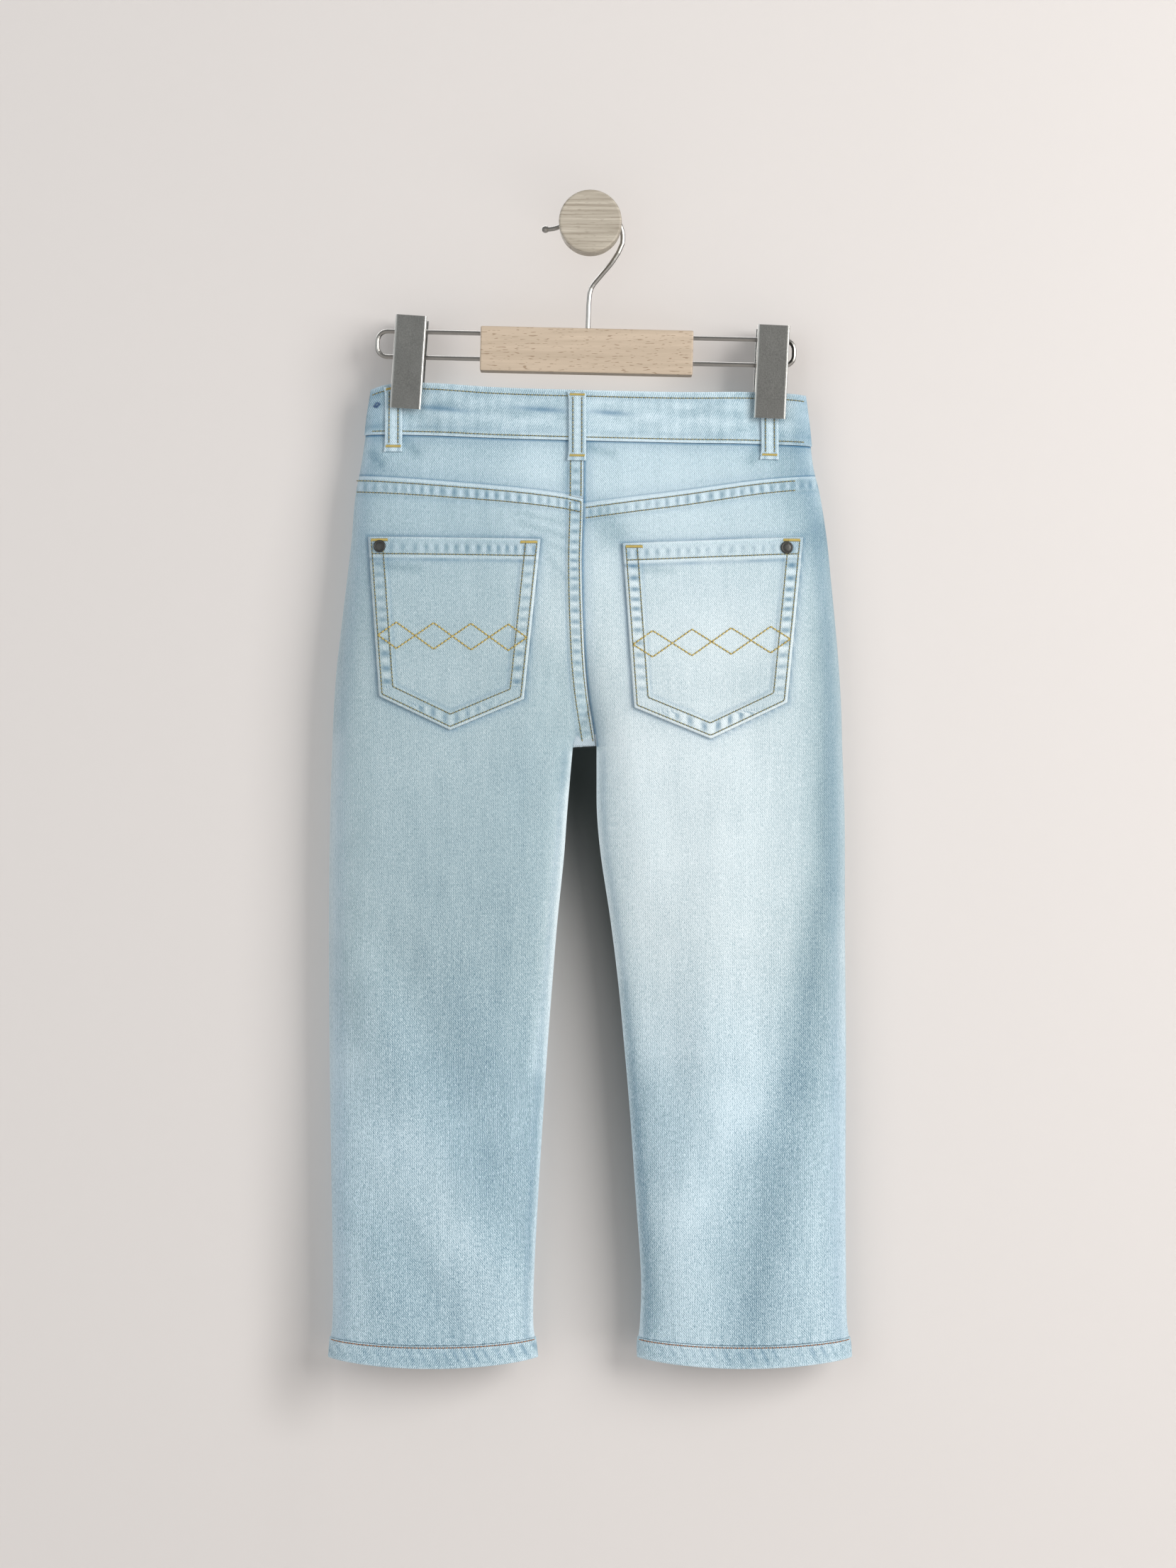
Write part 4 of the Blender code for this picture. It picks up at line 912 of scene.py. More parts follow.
def fly(material):
    """The fly's outer flap, with its curved lower end. Returns its outer surface."""
    share = spread(0, 1, 1 / 60)[:, None]
    drop = WAISTBAND_HEIGHT + 0.5 + (FLY_DROP - WAISTBAND_HEIGHT) * share
    start = along(CENTRE_SEAM, 1, drop) - SEAM_GAP
    width = FLY_WIDTH * np.sqrt(1 - np.maximum(0, (share - 0.72) / 0.30) ** 2)
    x = start - width * spread(0, 1, 1 / 26)

    def look(x, drop):
        waves = puckers(drop, 81) * 0.1
        return waves + 0.1 * ripples(x, drop, 20, 82), 0.10 * waves, np.zeros_like(x)

    skin = skin_of(1, -1, FLY_GAP + CLOTH, look)
    return sewn_piece("fly", 1, skin, look, x, np.broadcast_to(drop, x.shape), CLOTH, material)


def hoses(centres, ups, radii, sides=6):
    """Round threads through rows of points. Gives points, faces, nearness to an end and UV."""
    count, stations = centres.shape[:2]
    ahead = unit(np.gradient(centres, axis=1))
    beside = unit(np.cross(ahead, ups))
    over = np.cross(beside, ahead)
    turns = np.arange(sides) * 2 * math.pi / sides
    radii = np.broadcast_to(radii, (count, stations))[..., None, None]
    ring = np.cos(turns)[:, None] * beside[:, :, None] + np.sin(turns)[:, None] * over[:, :, None]
    points = (centres[:, :, None] + radii * ring).reshape(-1, 3)
    base = (np.arange(count) * stations * sides)[:, None, None]
    at = base + (np.arange(stations - 1) * sides)[:, None]
    j = np.arange(sides)
    k = (j + 1) % sides
    quads = np.stack([at + j, at + k, at + sides + k, at + sides + j], axis=-1).reshape(-1, 4)
    ends = [base[:, 0] + j[::-1], base[:, 0] + (stations - 1) * sides + j]
    run, away, around = np.broadcast_arrays(run_lengths(centres)[..., None], np.abs(
        np.linspace(-1, 1, stations))[:, None], turns * STITCH_RADIUS)
    uv = np.stack([run.ravel(), around.ravel()], axis=1)
    return points, quads.tolist() + np.concatenate(ends).tolist(), away.ravel(), uv


def upward(skin, face, x, drop):
    """Unit normals of a surface at places on it."""
    here = skin(x, drop)
    normal = unit(np.cross(skin(x + 0.3, drop) - here, skin(x, drop + 0.3) - here))
    return normal * np.where(normal[..., 1:2] * face < 0, -1, 1)


def thread_object(name, parts, material):
    """One object from threads and discs of painted shade."""
    points, faces, ends, layers = zip(*parts)
    starts = np.cumsum([0] + [len(part) for part in points]).tolist()
    faces = [[start + n for n in face] for start, part in zip(starts, faces) for face in part]
    values = {"end": np.concatenate(ends)}
    mesh_object(name, np.concatenate(points), faces, material, np.concatenate(layers), values)


def stitches(lines, pitch=STITCH_PITCH, radius=STITCH_RADIUS):
    """Threads, and discs of painted shade where the needle pierced the cloth, along lines, each a skin, its
    face, and x and drop along it.
    """
    parts = []
    for skin, face, x, drop in lines:
        run = run_lengths(skin(x, drop))
        count = int((run[-1] - 0.6) / pitch)
        middles = (np.arange(count) + 0.5) * run[-1] / count
        places = lambda distance: (np.interp(distance, run, x), np.interp(distance, run, drop))
        at = places(middles[:, None] + STITCH_LENGTH * pitch / STITCH_PITCH * STITCH_PLACES)
        ups = upward(skin, face, *at)
        parts.append(hoses(skin(*at) + ups * STITCH_HEIGHTS[:, None], ups, radius * STITCH_GIRTHS))
        between = middles[:-1] + 0.5 * run[-1] / count
        at = places(between)
        up, here = upward(skin, face, *at), skin(*at)
        ahead = unit(skin(*places(between + 0.2)) - here)
        beside = np.cross(ahead, up)
        turns = (np.arange(6) * math.pi / 3)[:, None]
        rim = HOLE_SHADE_LENGTH * np.cos(turns) * ahead[:, None] + HOLE_SHADE_WIDTH * np.sin(turns) * beside[:, None]
        hole_shades = (here[:, None] + 0.06 * up[:, None] + rim).reshape(-1, 3)
        faces = np.arange(len(hole_shades)).reshape(-1, 6).tolist()
        # Dark discs of painted shade where the needle pierced the cloth, marked with end 2
        parts.append((hole_shades, faces, np.full(len(hole_shades), 2.0), np.zeros((len(hole_shades), 2))))
    return parts


def laid_thread(skin, face, x, drop, height, radius):
    """One thread laid on the cloth at some height along places on it."""
    ups = upward(skin, face, x, drop)
    centres = skin(x, drop) + ups * height[:, None]
    points, faces, ends, uv = hoses(centres[None], ups[None], radius)
    return points, faces, ends * 0, uv


def bartack(skin, face, start, end, width=1.9):
    """A dense zigzag of thread from start to end, both x and drop."""
    start, end = np.array(start), np.array(end)
    length = np.hypot(*(end - start))
    count = int(length / TACK_PITCH)
    share = np.linspace(0, 1, count)[:, None]
    cross = np.array([-(end - start)[1], (end - start)[0]]) / length
    swing = np.where(np.arange(count) % 2 == 0, 0.5, -0.5)[:, None] * width
    places = start + (end - start) * share + cross * swing
    finer = np.linspace(0, count - 1, 3 * count - 2)
    x, drop = (np.interp(finer, np.arange(count), column) for column in places.T)
    height = np.where(np.isclose(finer % 1, 0), *TACK_HEIGHTS)
    return laid_thread(skin, face, x, drop, height, TACK_RADIUS)


def turned_rivet(name, place, material):
    """A turned rivet with a knurled collar, its own Y axis along that of place."""
    radius, height, knurled = np.array(RIVET_PROFILE).T[:, :, None]
    turns = np.arange(RIVET_SIDES) * 2 * math.pi / RIVET_SIDES
    radius = radius * (1 + knurled * np.sign(np.sin(turns * RIVET_KNURLS)))
    points = np.stack([radius * np.cos(turns), 0 * turns + height, radius * np.sin(turns)], axis=-1)
    points = points.reshape(-1, 3) @ np.array(place.to_3x3()).T + np.array(place.to_translation())
    j = np.arange(RIVET_SIDES)
    k = (j + 1) % RIVET_SIDES
    row = (np.arange(len(RIVET_PROFILE) - 1) * RIVET_SIDES)[:, None]
    follow = row + RIVET_SIDES
    quads = np.stack([row + j, follow + j, follow + k, row + k], axis=-1).reshape(-1, 4)
    caps = [j.tolist(), (follow[-1] + j[::-1]).tolist()]
    return mesh_object(name, points, quads.tolist() + caps, material)


def on_cloth(skin, face, x, drop, proud):
    """The place of something round that lies on the cloth, as a matrix whose Y axis points out."""
    at_x, at_drop = np.array([x]), np.array([drop])
    out = Vector(upward(skin, face, at_x, at_drop)[0])
    turn = Vector((0, 1, 0)).rotation_difference(out).to_matrix().to_4x4()
    return Matrix.Translation(Vector(skin(at_x, at_drop)[0]) + out * proud) @ turn


class Nodes:
    """Short calls that add shader nodes to one material."""

    def __init__(self, name):
        self.material = bpy.data.materials.new(name)
        self.material.use_nodes = True
        self.tree = self.material.node_tree
        self.shader = self.tree.nodes["Principled BSDF"]

    def add(self, kind, inputs=(), output=0, **settings):
        """A node with its settings and inputs, by name or number. Gives one of its outputs."""
        made = self.tree.nodes.new(kind)
        for key, value in settings.items():
            setattr(made, key, value)
        for key, value in dict(inputs).items():
            self.plug(made.inputs[key], value)
        return made.outputs[output]

    def plug(self, socket, value):
        """Gives a socket a link, a colour or another value."""
        if isinstance(value, bpy.types.NodeSocket):
            self.tree.links.new(value, socket)
        else:
            socket.default_value = (*value, 1) if socket.type == "RGBA" else value

    def math(self, operation, a, b=0.0, c=0.0, clamp=False):
        return self.add("ShaderNodeMath", {0: a, 1: b, 2: c}, operation=operation, use_clamp=clamp)

    def sum(self, *terms):
        """The sum of terms, each a socket or a pair of a socket and a factor."""
        total = 0.0
        for term in terms:
            socket, factor = term if isinstance(term, tuple) else (term, 1.0)
            total = self.math("MULTIPLY_ADD", socket, factor, total)
        return total

    def scaled(self, vector, x, y, z=1.0):
        """A vector times three numbers."""
        return self.add("ShaderNodeVectorMath", {0: vector, 1: (x, y, z)}, operation="MULTIPLY")

    def noise(self, vector, x, y, z=1.0, detail=2.0, roughness=0.5):
        """Noise between about -1 and 1, at so many cells for each unit of the vector."""
        value = self.add("ShaderNodeTexNoise", {"Vector": self.scaled(vector, x, y, z), "Scale": 1.0,
                                                "Detail": detail, "Roughness": roughness})
        return self.math("MULTIPLY_ADD", value, 3.2, -1.6)

    def step(self, value, low, high):
        """0 at low, 1 at high, and a smooth step between."""
        return self.add("ShaderNodeMapRange", {0: value, 1: low, 2: high, 3: 0.0, 4: 1.0},
                        interpolation_type="SMOOTHSTEP")

    def ramp(self, value, stops):
        """Colour from a value through stops of position and colour."""
        made = self.tree.nodes.new("ShaderNodeValToRGB")
        elements = made.color_ramp.elements
        while len(elements) < len(stops):
            elements.new(0.5)
        for element, (position, colour) in zip(elements, stops):
            element.position = position
            element.color = (*colour, 1)
        self.plug(made.inputs[0], value)
        return made.outputs[0]

    def mix(self, share, a, b, blend="MIX"):
        """A mix of two colours."""
        return self.add("ShaderNodeMix", {0: share, 6: a, 7: b}, output=2, data_type="RGBA",
                        blend_type=blend, clamp_factor=True)

    def attribute(self, name):
        return self.add("ShaderNodeAttribute", output=2, attribute_name=name)

    def parts_of(self, vector):
        """The X, Y and Z of a vector."""
        made = self.tree.nodes.new("ShaderNodeSeparateXYZ")
        self.plug(made.inputs[0], vector)
        return made.outputs

    def object_place(self):
        """The place in the object, in millimetres."""
        return self.scaled(self.add("ShaderNodeTexCoord", output=3), 1000, 1000, 1000)

    def cloth_place(self):
        """The place on the cloth in millimetres: as a vector, and along and down it."""
        place = self.scaled(self.add("ShaderNodeUVMap", uv_map="Cloth"), 1000, 1000, 0)
        parts = self.parts_of(place)
        return place, parts[0], parts[1]

    def finish(self, colour, roughness, metallic=0.0, relief=None, depth=0.0001, **fixed):
        """Sets the surface. relief is a height and depth what it is worth in metres."""
        values = {"Base Color": colour, "Roughness": roughness, "Metallic": metallic, **fixed}
        if relief is not None:
            bumps = {"Height": relief, "Strength": 1.0, "Distance": depth}
            values["Normal"] = self.add("ShaderNodeBump", bumps)
        for key, value in values.items():
            self.plug(self.shader.inputs[key.replace("_", " ")], value)
        return self.material


def denim(name, wash):
    """Blue denim faded by washing: twill, slubs in the warp, worn ridges, paleness that is partly painted
    light, and blue beside seams and in hollows that is partly kept dye and partly painted shade.
    """
    n = Nodes(name)
    place, u, v = n.cloth_place()
    wobble = n.noise(place, 0.11, 0.05, detail=1)
    twill = n.math("SINE", n.sum((u, TWILL_TURN[0]), (v, TWILL_TURN[1]), (wobble, 0.8)))
    warp = n.math("SINE", n.sum((u, WARP_TURN), (wobble, 2.0)))
    weave = n.math("SINE", n.sum((u, WEAVE_TURN[0]), (v, WEAVE_TURN[1]), (wobble, 1.5)))
    yarn = n.noise(place, 2.6, 0.35, detail=1)
    slub = n.noise(place, 0.50, 0.045, detail=3, roughness=0.6)
    weft = n.noise(place, 0.16, 0.9, detail=2)
    fleck = n.noise(place, 1.7, 1.0, detail=2, roughness=0.7)
    grit = n.noise(place, 0.85, 0.55, detail=1, roughness=0.6)
    cloud = n.noise(place, 0.05, 0.035, detail=4, roughness=0.55)
    streak = n.noise(place, 0.11, 0.010, detail=2)
    lower = n.step(v, -280.0, -500.0)
    texture = n.sum((twill, 0.110), (yarn, 0.150), (fleck, 0.215), (grit, 0.090), (slub, 0.060),
                    (streak, 0.030), (weft, 0.025), (warp, 0.050), (weave, 0.050))
    texture = n.math("MULTIPLY", texture, n.math("MULTIPLY_ADD", lower, 0.95, 1.0))
    crisp = n.math("MULTIPLY", twill, n.step(v, -210.0, -60.0))
    value = n.sum(n.attribute("fade_and_painted_light"), texture, (crisp, 0.110), (cloud, 0.045), (lower, -0.045))
    value = n.math("ADD", value, wash)
    cloth = n.ramp(value, WASH_COLOURS)
    from_thigh = n.math("ABSOLUTE", n.math("ADD", v, 260.0))
    cloth = n.mix(n.step(from_thigh, 80.0, 230.0), cloth, n.mix(1.0, cloth, BLUER, "MULTIPLY"))
    uneven = n.math("MULTIPLY_ADD", n.sum((twill, 0.5), (fleck, 0.6), (grit, 0.6)), 0.35, 1.0)
    cloth = n.mix(n.math("MULTIPLY", n.attribute("dye_and_painted_shade"), uneven, clamp=True), cloth, DYE_AND_PAINTED_SHADE_BLUE)
    value = n.math("ADD", n.sum((twill, -0.2), (yarn, 0.15), (fleck, 0.2)), 0.5, clamp=True)
    cloth = n.mix(n.attribute("wrong_side"), cloth, n.mix(value, *WRONG_COLOURS))
    relief = n.sum((twill, 0.5), (slub, 0.3), (yarn, 0.35), (grit, 0.5), (fleck, 0.35))
    return n.finish(cloth, 0.88, relief=relief, depth=0.00010, Sheen_Weight=0.12, Sheen_Roughness=0.5,
                    Specular_IOR_Level=0.2)


def thread(name, base, light, hole_shade):
    """Twisted sewing thread, with painted shade where it dives into the cloth and on the discs where the
    needle pierced the cloth.
    """
    n = Nodes(name)
    _, length, around = n.cloth_place()
    twist = n.math("SINE", n.sum((length, 9.0), (around, 3.4)))
    patch = n.noise(n.add("ShaderNodeTexCoord", output=3), 160, 160, 160, detail=2)
    value = n.math("ADD", n.sum((twist, 0.22), (patch, 0.35)), 0.5, clamp=True)
    end = n.attribute("end")
    colour = n.mix(value, base, light)
    # Painted shade near the stitches' ends, where they dive into the cloth, and on the discs, whose end is
    # 2
    colour = n.mix(n.math("MULTIPLY", n.math("POWER", end, 3.0), 0.55, clamp=True), colour, hole_shade)
    colour = n.mix(n.math("GREATER_THAN", end, 1.5), colour, hole_shade)
    return n.finish(colour, 0.7, relief=twist, depth=0.00004, Sheen_Weight=0.1)


def wood(name, base, streak, fleck_colour, across_scale, contrast, flecks):
    """Wood with its grain along X."""
    n = Nodes(name)
    place = n.object_place()
    grain = n.noise(place, 0.012, 0.30, across_scale, detail=3, roughness=0.5)
    fine = n.noise(place, 0.06, 2.0, 2.6, detail=2)
    pores = n.noise(place, 0.20, 0.9, 1.2, detail=1, roughness=0.4)
    pores = n.math("MULTIPLY", n.step(pores, 0.38, 0.60), flecks)
    value = n.math("ADD", n.sum((grain, contrast), (fine, 0.20)), 0.5, clamp=True)
    colour = n.mix(pores, n.mix(value, base, streak), fleck_colour)
    relief = n.sum((grain, 0.3), (fine, 0.4), (pores, -1.0))
    return n.finish(colour, 0.55, relief=relief, depth=0.00006)


def metal(name, colour, roughness, grit, dark=0.8, relief=0.00003, edge=None):
    """Bead-blasted or drawn metal. edge is the colour of a painted highlight where the surface bends away
    from the face.
    """
    n = Nodes(name)
    place = n.object_place()
    fine = n.noise(place, grit, grit, grit, detail=2)
    cloud = n.noise(place, 0.09, 0.09, 0.05, detail=3)
    value = n.math("ADD", n.sum((fine, 0.45), (cloud, 0.25)), 0.5, clamp=True)
    tint = n.mix(value, tuple(dark * c for c in colour), colour)
    if edge:
        # Painted highlight where the surface bends away from the face
        facing = n.math("ABSOLUTE", n.parts_of(n.add("ShaderNodeNewGeometry", output=1))[1])
        tint = n.mix(n.step(facing, 0.985, 0.90), tint, edge)
    return n.finish(tint, roughness, metallic=1.0, relief=fine, depth=relief)


def plain(name, colour, roughness, grit=3.0):
    """A matt material with a fine grain."""
    n = Nodes(name)
    fine = n.noise(n.object_place(), grit, grit, grit, detail=2)
    share = n.math("MULTIPLY_ADD", fine, 0.3, 0.5, clamp=True)
    tint = n.mix(share, colour, tuple(0.85 * c for c in colour))
    return n.finish(tint, roughness, relief=fine, depth=0.00003)


def polyline(corners, count=60):
    """x and drop along straight runs between corners."""
    corners = np.array(corners, float)
    run = run_lengths(corners)
    at = np.linspace(0, run[-1], count * (len(corners) - 1))
    return np.interp(at, run, corners[:, 0]), np.interp(at, run, corners[:, 1])


def inset(corners, distance):
    """A pocket's corners moved in by a distance from every edge but the top."""
    ends = np.array([corners[name] for name in ROUND_POCKET[:1] + ROUND_POCKET[:0:-1]])
    runs = np.diff(ends, axis=0)
    runs /= np.hypot(*runs.T)[:, None]
    moved = ends[:-1] + np.stack([runs[:, 1], -runs[:, 0]], axis=1) * distance
    points = [moved[0] + runs[0] * 2.0]
    for i in range(len(runs) - 1):
        step = moved[i + 1] - moved[i]
        cross = runs[i, 0] * runs[i + 1, 1] - runs[i, 1] * runs[i + 1, 0]
        t = (step[0] * runs[i + 1, 1] - step[1] * runs[i + 1, 0]) / cross
        points.append(moved[i] + runs[i] * t)
    last = moved[-1] + runs[-1] * (np.hypot(*(ends[-1] - ends[-2])) - 2.0)
    return points + [last]


def pocket_lines(word, skin):
    """A back pocket's edge and hem lines."""
    corners = POCKETS[word]
    runs = [inset(corners, distance) for distance in POCKET_LINES]
    left, right = np.array(corners["top_left"]), np.array(corners["top_right"])
    down = np.array([0.0, POCKET_HEM_LINE])
    runs.append([left + down + (2.8, 0), right + down - (2.8, 0)])
    return [(skin, -1, *polyline(run)) for run in runs]


def lozenges(word, skin):
    """A chain of lozenges across a back pocket: two zigzags that mirror each other."""
    low = inset(POCKETS[word], POCKET_LINES[0])
    left, right = (low[a] * (1 - LOZENGES_DOWN) + low[b] * LOZENGES_DOWN for a, b in ((0, 1), (4, 3)))
    lines = []
    for turn in (-1, 1):
        corners = []
        for k in range(2 * LOZENGE_COUNT + 1):
            place = left + (right - left) * k / (2 * LOZENGE_COUNT)
            corners.append(place + (0, LOZENGE_HALF_HEIGHT * turn * (k % 2)))
        lines.append((skin, -1, *polyline(corners, 30)))
    return stitches(lines, LOZENGE_PITCH, LOZENGE_RADIUS)


def topstitching(skins):
    """The lines of each group of topstitching."""
    waist, seat, pockets, front, hems = [], [], [], [], []
    for side, word in SIDES:
        outer, inner = edges_at(side, np.array([20.0]))
        x = np.linspace(outer[0] - side * 3.0, inner[0] - side * 0.5, 300)
        for face in (-1, 1):
            waist += [(skins["waistband", face, side], face, x, 0 * x + drop) for drop in WAIST_LINES]
        x = np.linspace(outer[0] - YOKE_LINE_START[side], inner[0] + side, 300)
        seat += [(skins["back", side], -1, x, yoke_seam(side, x) + below) for below in YOKE_LINES]
        if side < 0:
            for distance in FELL_LINES:
                for piece, top, low in (("yoke", 42.0, 69.0), ("back", 72.0, 228.0)):
                    drop = np.linspace(top, low, 200)
                    seat.append((skins[piece, side], -1, edges_at(side, drop)[1] - distance, drop))
        drop = np.full(200, HEM_TOP_DROP + HEM_LINE)
        outer, inner = edges_at(side, drop)
        x = np.linspace(outer[0] - side * 0.4, inner[0] + side * 0.4, 200)
        hems += [(skins["hem", face, side], face, x, drop) for face in (-1, 1)]
        x = side * np.linspace(FRONT_POCKET_START + 0.5, 142.0, 150)
        for below in MOUTH_LINES:
            drop = front_top(side, x) + below
            inside = np.abs(x) < np.abs(edges_at(side, drop)[0]) - 2
            front.append((skins["front", side], 1, x[inside], drop[inside]))
        pockets += pocket_lines(word, skins["pocket", word])
    drop = np.linspace(36.0, FLY_DROP - 1.5, 120)
    share = (drop - WAISTBAND_HEIGHT - 0.5) / (FLY_DROP - WAISTBAND_HEIGHT)
    for distance in FLY_LINES:
        width = (FLY_WIDTH - distance) * np.sqrt(1 - np.clip((share - 0.68) / 0.32, 0, 1) ** 2)
        front.append((skins["fly"], 1, along(CENTRE_SEAM, 1, drop) - SEAM_GAP - width, drop))
    for name, (middle, face, low) in LOOPS.items():
        drop = np.linspace(4.6, low - 4.6, 60)
        waist += [(skins[name], face, middle + offset + 0 * drop, drop) for offset in LOOP_LINES]
    return waist, seat, pockets, front, hems


def bartacks(skins):
    """The zigzags at the back pockets' upper corners and the belt loops' ends."""
    tacks = []
    near, far = POCKET_TACK
    for _, word in SIDES:
        skin = skins["pocket", word]
        left, right = (np.array(POCKETS[word][name]) for name in ("top_left", "top_right"))
        tacks.append(bartack(skin, -1, left + (near, near), left + (far, near)))
        tacks.append(bartack(skin, -1, right + (-far, near), right + (-near, near)))
    for name, (middle, face, low) in LOOPS.items():
        start, end = middle - LOOP_TACK_ENDS[0], middle + LOOP_TACK_ENDS[1]
        for drop in (LOOP_TACK_DROPS[0], low - LOOP_TACK_DROPS[1]):
            tacks.append(bartack(skins[name], face, (start, drop), (end, drop), 1.5))
    return tacks


def knot(skin):
    """The small round knot of thread on the waistband's left."""
    turn = np.linspace(0, 5 * math.pi, 70)
    x = KNOT[0] + 1.9 * np.cos(turn) * (0.5 + 0.1 * turn / math.pi) + 0.5 * np.sin(2.7 * turn)
    drop = KNOT[1] + 1.6 * np.sin(turn) * (0.6 + 0.08 * turn / math.pi) + 0.4 * np.cos(3.1 * turn)
    return laid_thread(skin, -1, x, drop, 0.25 + 0.2 * np.sin(3.3 * turn), 0.32)


def sewing(skins):
    """All topstitching, bartacks and the pockets' decoration."""
    khaki, mustard, rust, indigo = (thread(name, *colours) for name, colours in THREADS.items())
    thread_object("thread_knot", [knot(skins["waistband", -1, -1])], indigo)
    for name, lines in zip(("waist", "seat", "pockets", "front", "hems"), topstitching(skins)):
        thread_object(f"topstitch_{name}", stitches(lines), rust if name == "hems" else khaki)
    thread_object("bartacks", bartacks(skins), mustard)
    chains = [part for _, word in SIDES for part in lozenges(word, skins["pocket", word])]
    thread_object("pocket_lozenges", chains, mustard)


def garment():
    """Every piece of cloth. Gives the outer surfaces that carry the sewing."""
    cloth, band = (denim(name, level) for name, level in WASH_LEVELS.items())
    skins = {}
    hem_end = HEM_BOTTOM_DROP - 1.5
    for side, word in SIDES:
        skins["back", side] = leg_panel(f"back_{word}", -1, side, yoke_seam, BACK_STEP, cloth)
        skins["front", side] = leg_panel(f"front_{word}", 1, side, front_top, FRONT_STEP, cloth)
        skins["yoke", side] = yoke(f"yoke_{word}", side, cloth)
        hip_facing(f"hip_facing_{word}", side, cloth)
        skins["pocket", word] = back_pocket(side, word, cloth)
        drop = joined(HEM_TOP_DROP + SEAM_GAP / 2, spread(HEM_TOP_DROP + 0.5, hem_end, 0.9),
                      spread(hem_end, HEM_BOTTOM_DROP, 0.3))[:, None]
        columns = columns_of(HALF_WIDTHS["hem"], 1.3, fine=3)
        ring_piece(f"hem_{word}", [(-1, side, 1), (1, side, -1)], drop, columns, hem_look, HEM_PROUD, cloth)
        for face in (-1, 1):
            skins["hem", face, side] = ring_skin(face, side, HEM_PROUD, hem_look)
            skins["waistband", face, side] = ring_skin(face, side, BAND_PROUD, band_look)
    band_end = WAISTBAND_HEIGHT - SEAM_GAP / 2
    drop = joined(spread(0, 2, 0.4), spread(2, 31, 1.0), spread(31, band_end, 0.4))
    stretches = [(1, -1, -1), (-1, -1, 1), (-1, 1, -1), (1, 1, 1)]
    columns = columns_of(HALF_WIDTHS["waistband"], 1.3, fine=3)
    ring_piece("waistband", stretches, drop[:, None], columns, band_look, BAND_PROUD, band, twist=-1)
    for name in LOOPS:
        skins[name] = belt_loop(name, band)
    skins["fly"] = fly(cloth)
    return skins


def ring_skin(face, side, proud, look_of):
    """The outer surface of a ring of cloth on one face and side."""
    return skin_of(face, side, proud, lambda x, drop: look_of(face, side, x, drop))


def studs(skins):
    """The rivets at the back pockets' outer corners, and the waist button's finish."""
    material = metal("gunmetal", (0.085, 0.085, 0.080), 0.42, 2.0)
    for _, word in SIDES:
        place = on_cloth(skins["pocket", word], -1, *POCKETS[word]["rivet"], RIVET_PROUD)
        rivet = turned_rivet(f"rivet_{word}", place, material)
        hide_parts(f"rivet_{word}")
    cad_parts["waist_button"].material_slots[0].material = material


def fittings():
    """Finishes of the hanger, the clips and the knob."""
    beech = wood("beech", *BEECH_COLOURS, 0.3, 0.35, 0.75)
    grey = wood("knob_wood", *KNOB_COLOURS, 0.55, 0.55, 0.3)
    # The clips' plates and sleeves get a painted highlight on their bends
    steel = metal("clip_steel", (0.265, 0.265, 0.25), 0.42, 1.1, 0.62, edge=(0.80, 0.80, 0.77))
    bright = metal("wire_steel", (0.34, 0.33, 0.31), 0.28, 0.8, 0.85, relief=0.000003)
    rubber = plain("pad_rubber", (0.035, 0.035, 0.035), 0.8)
    finishes = {"plate": steel, "sleeve": steel, "pad": rubber, "wire_loop": bright,
                "hanger_hook": bright, "hanger_bar": beech, "wall_knob": grey}
    for name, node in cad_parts.items():
        for word, finish in finishes.items():
            if word in name:
                for holder in node.material_slots:
                    holder.material = finish
        if name in WITHOUT_SHADOW:
            node.visible_shadow = False


def area_light(name, place, size, power, colour):
    """A soft square light that looks at the middle of the garment. Lengths are in metres."""
    data = bpy.data.lights.new(name, "AREA")
    data.size = size
    data.energy = power
    data.color = colour
    lamp = placed(name, data)
    lamp.location = place
    lamp.rotation_euler = (Vector(LIT_PLACE) - Vector(place)).to_track_quat("-Z", "Y").to_euler()


def stage_plane(name, points, faces, material):
    """A flat piece of the studio."""
    thing = placed(name, new_mesh(name, points, faces, material))
    return thing


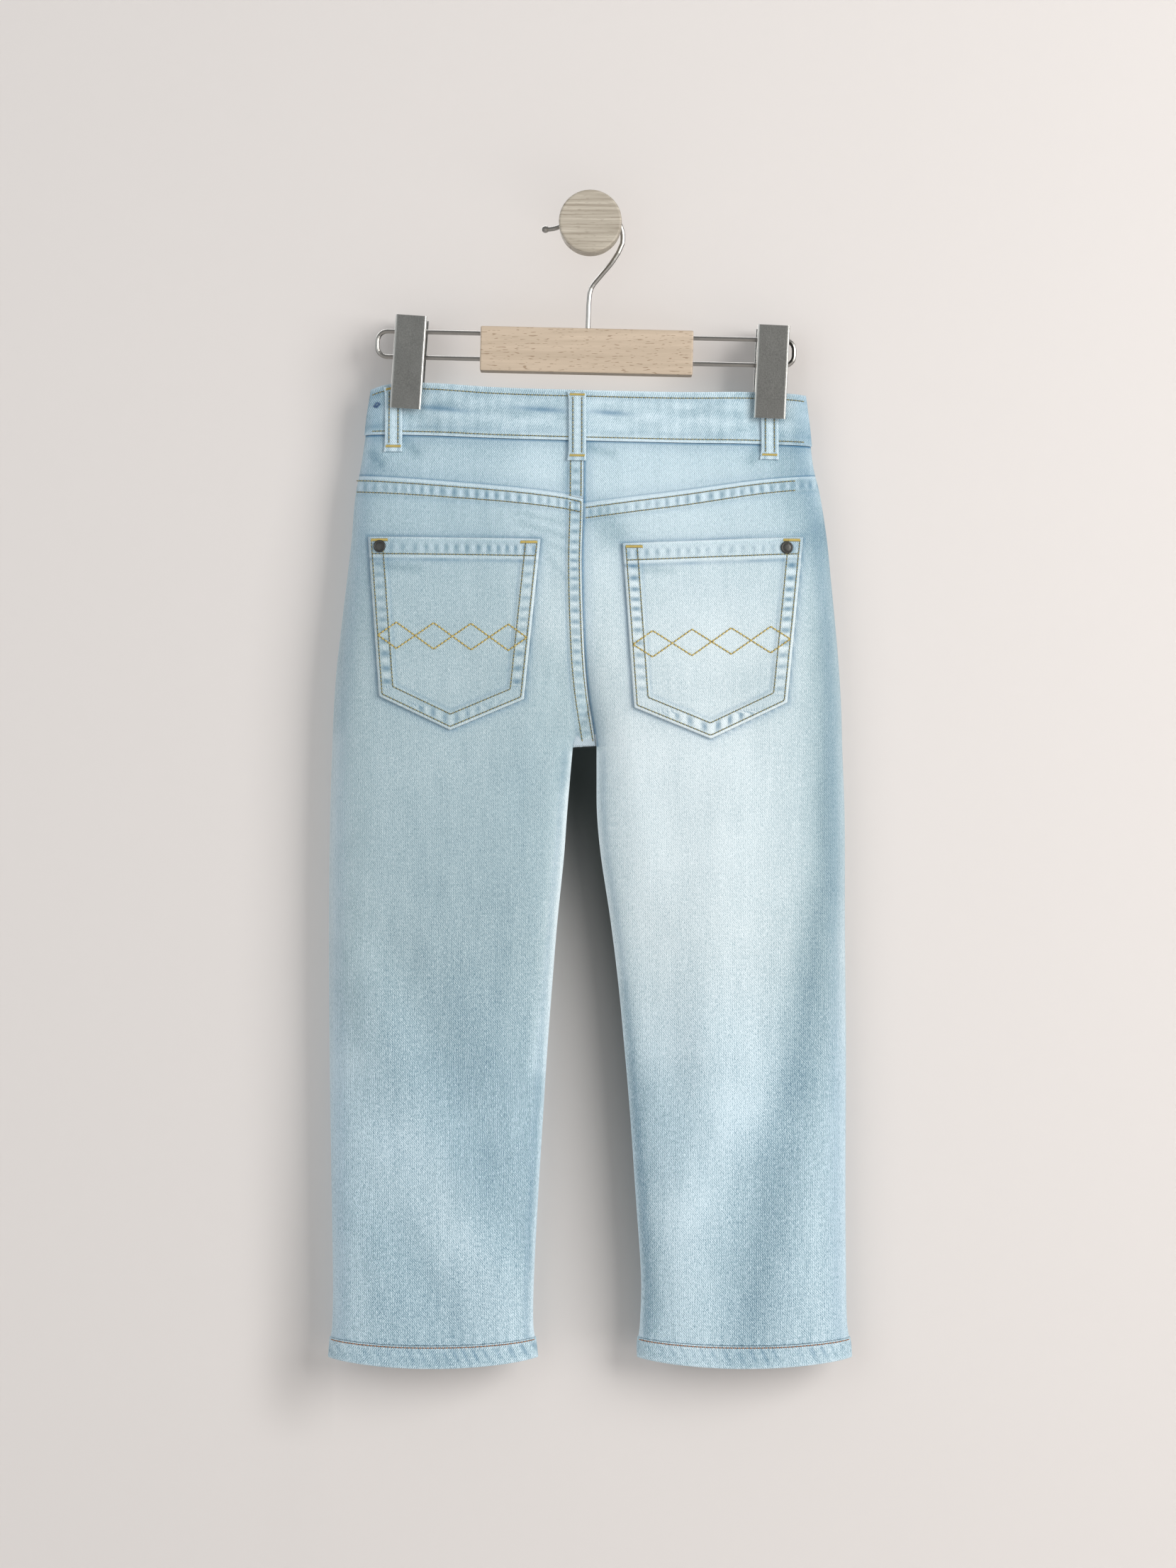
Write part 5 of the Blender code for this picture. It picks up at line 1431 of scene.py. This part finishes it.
def between_legs():
    """A grid on the wall, and the shadow painted on it behind the gap between the legs, darker to the
    right, and beside the left leg.
    """
    x = np.concatenate([[-5000], spread(-260, -64, 4.0), spread(-60, 60, 2.0), [5000]])[None, :]
    z = np.concatenate([[-1100], spread(-800, -310, 5.0), [3000]])[:, None]
    drop = WAIST_Z - z
    left, right = along(INSEAMS, 1, drop), along(INSEAMS, 2, drop)
    share = np.clip((x - left) / (right - left), 0, 1)
    by_left, by_right = along(GAP_SHADE, 1, drop), along(GAP_SHADE, 2, drop)
    dark = by_left + (by_right - by_left) * share
    outside = np.maximum(left - x, x - right)
    dark = dark * (1 - smooth(0, 16, outside)) * smooth(CROTCH_DROP - 22, CROTCH_DROP, drop)
    # A soft shadow painted on the wall beside the left leg, lower down
    beside = along(OUTLINE, 1, drop) - x
    soft = LEG_SHADE * smooth(400, 640, drop) * (1 - smooth(650, 700, drop))
    dark = np.maximum(dark, soft * bump(beside - 26, 20) * (beside > 0))
    x, z = np.broadcast_arrays(x, z)
    points = np.stack([x, 0 * x + WALL_Y, z], axis=-1).reshape(-1, 3) * MM
    return points, grid_faces(*x.shape)[:, ::-1], dark.ravel()


def studio():
    """The light-coloured wall with its painted shadow, seen only from its front, the floor, lights and the
    camera.
    """
    n = Nodes("wall_paint_and_painted_shadow")
    # The wall's paint, mixed towards the painted shadow colour by the shade attribute
    paint = n.finish(n.mix(n.attribute("shade"), WALL_COLOUR, PAINTED_SHADOW_COLOUR), 0.9, Specular_IOR_Level=0.1)
    seen_from_back = n.add("ShaderNodeNewGeometry", output=6)
    clear = n.add("ShaderNodeBsdfTransparent")
    mixed = n.add("ShaderNodeMixShader", {0: seen_from_back, 1: n.shader.outputs[0], 2: clear})
    n.tree.links.new(mixed, n.tree.nodes["Material Output"].inputs[0])
    points, faces, dark = between_legs()
    wall = stage_plane("studio_wall", points, faces.tolist(), paint)
    add_values(wall.data, "shade", dark)
    wall.visible_shadow = False
    wall.visible_diffuse = False
    wall.visible_glossy = False
    floor = Nodes("floor_paint").finish(WALL_COLOUR, 0.9, Specular_IOR_Level=0.1)
    corners = np.array([(x, y, FLOOR_Z) for x, y in ((-5, -5), (5, -5), (5, 5), (-5, 5))])
    stage_plane("studio_floor", corners, [(0, 1, 2, 3)], floor)
    for name, light in LIGHTS.items():
        area_light(name, *light)
    scene = bpy.context.scene
    world = bpy.data.worlds.new("studio")
    world.use_nodes = True
    background = world.node_tree.nodes["Background"]
    background.inputs[0].default_value = (*WORLD_COLOUR, 1)
    background.inputs[1].default_value = WORLD_STRENGTH
    scene.world = world
    scene.view_settings.view_transform = "Standard"
    data = bpy.data.cameras.new("camera")
    data.lens = LENS_MM
    data.sensor_width = SENSOR_MM
    scene.camera = placed("camera", data)
    scene.camera.location = CAMERA_PLACE
    scene.camera.rotation_euler = (math.pi / 2, 0, 0)


def main():
    studio()
    skins = garment()
    sewing(skins)
    studs(skins)
    fittings()


main()
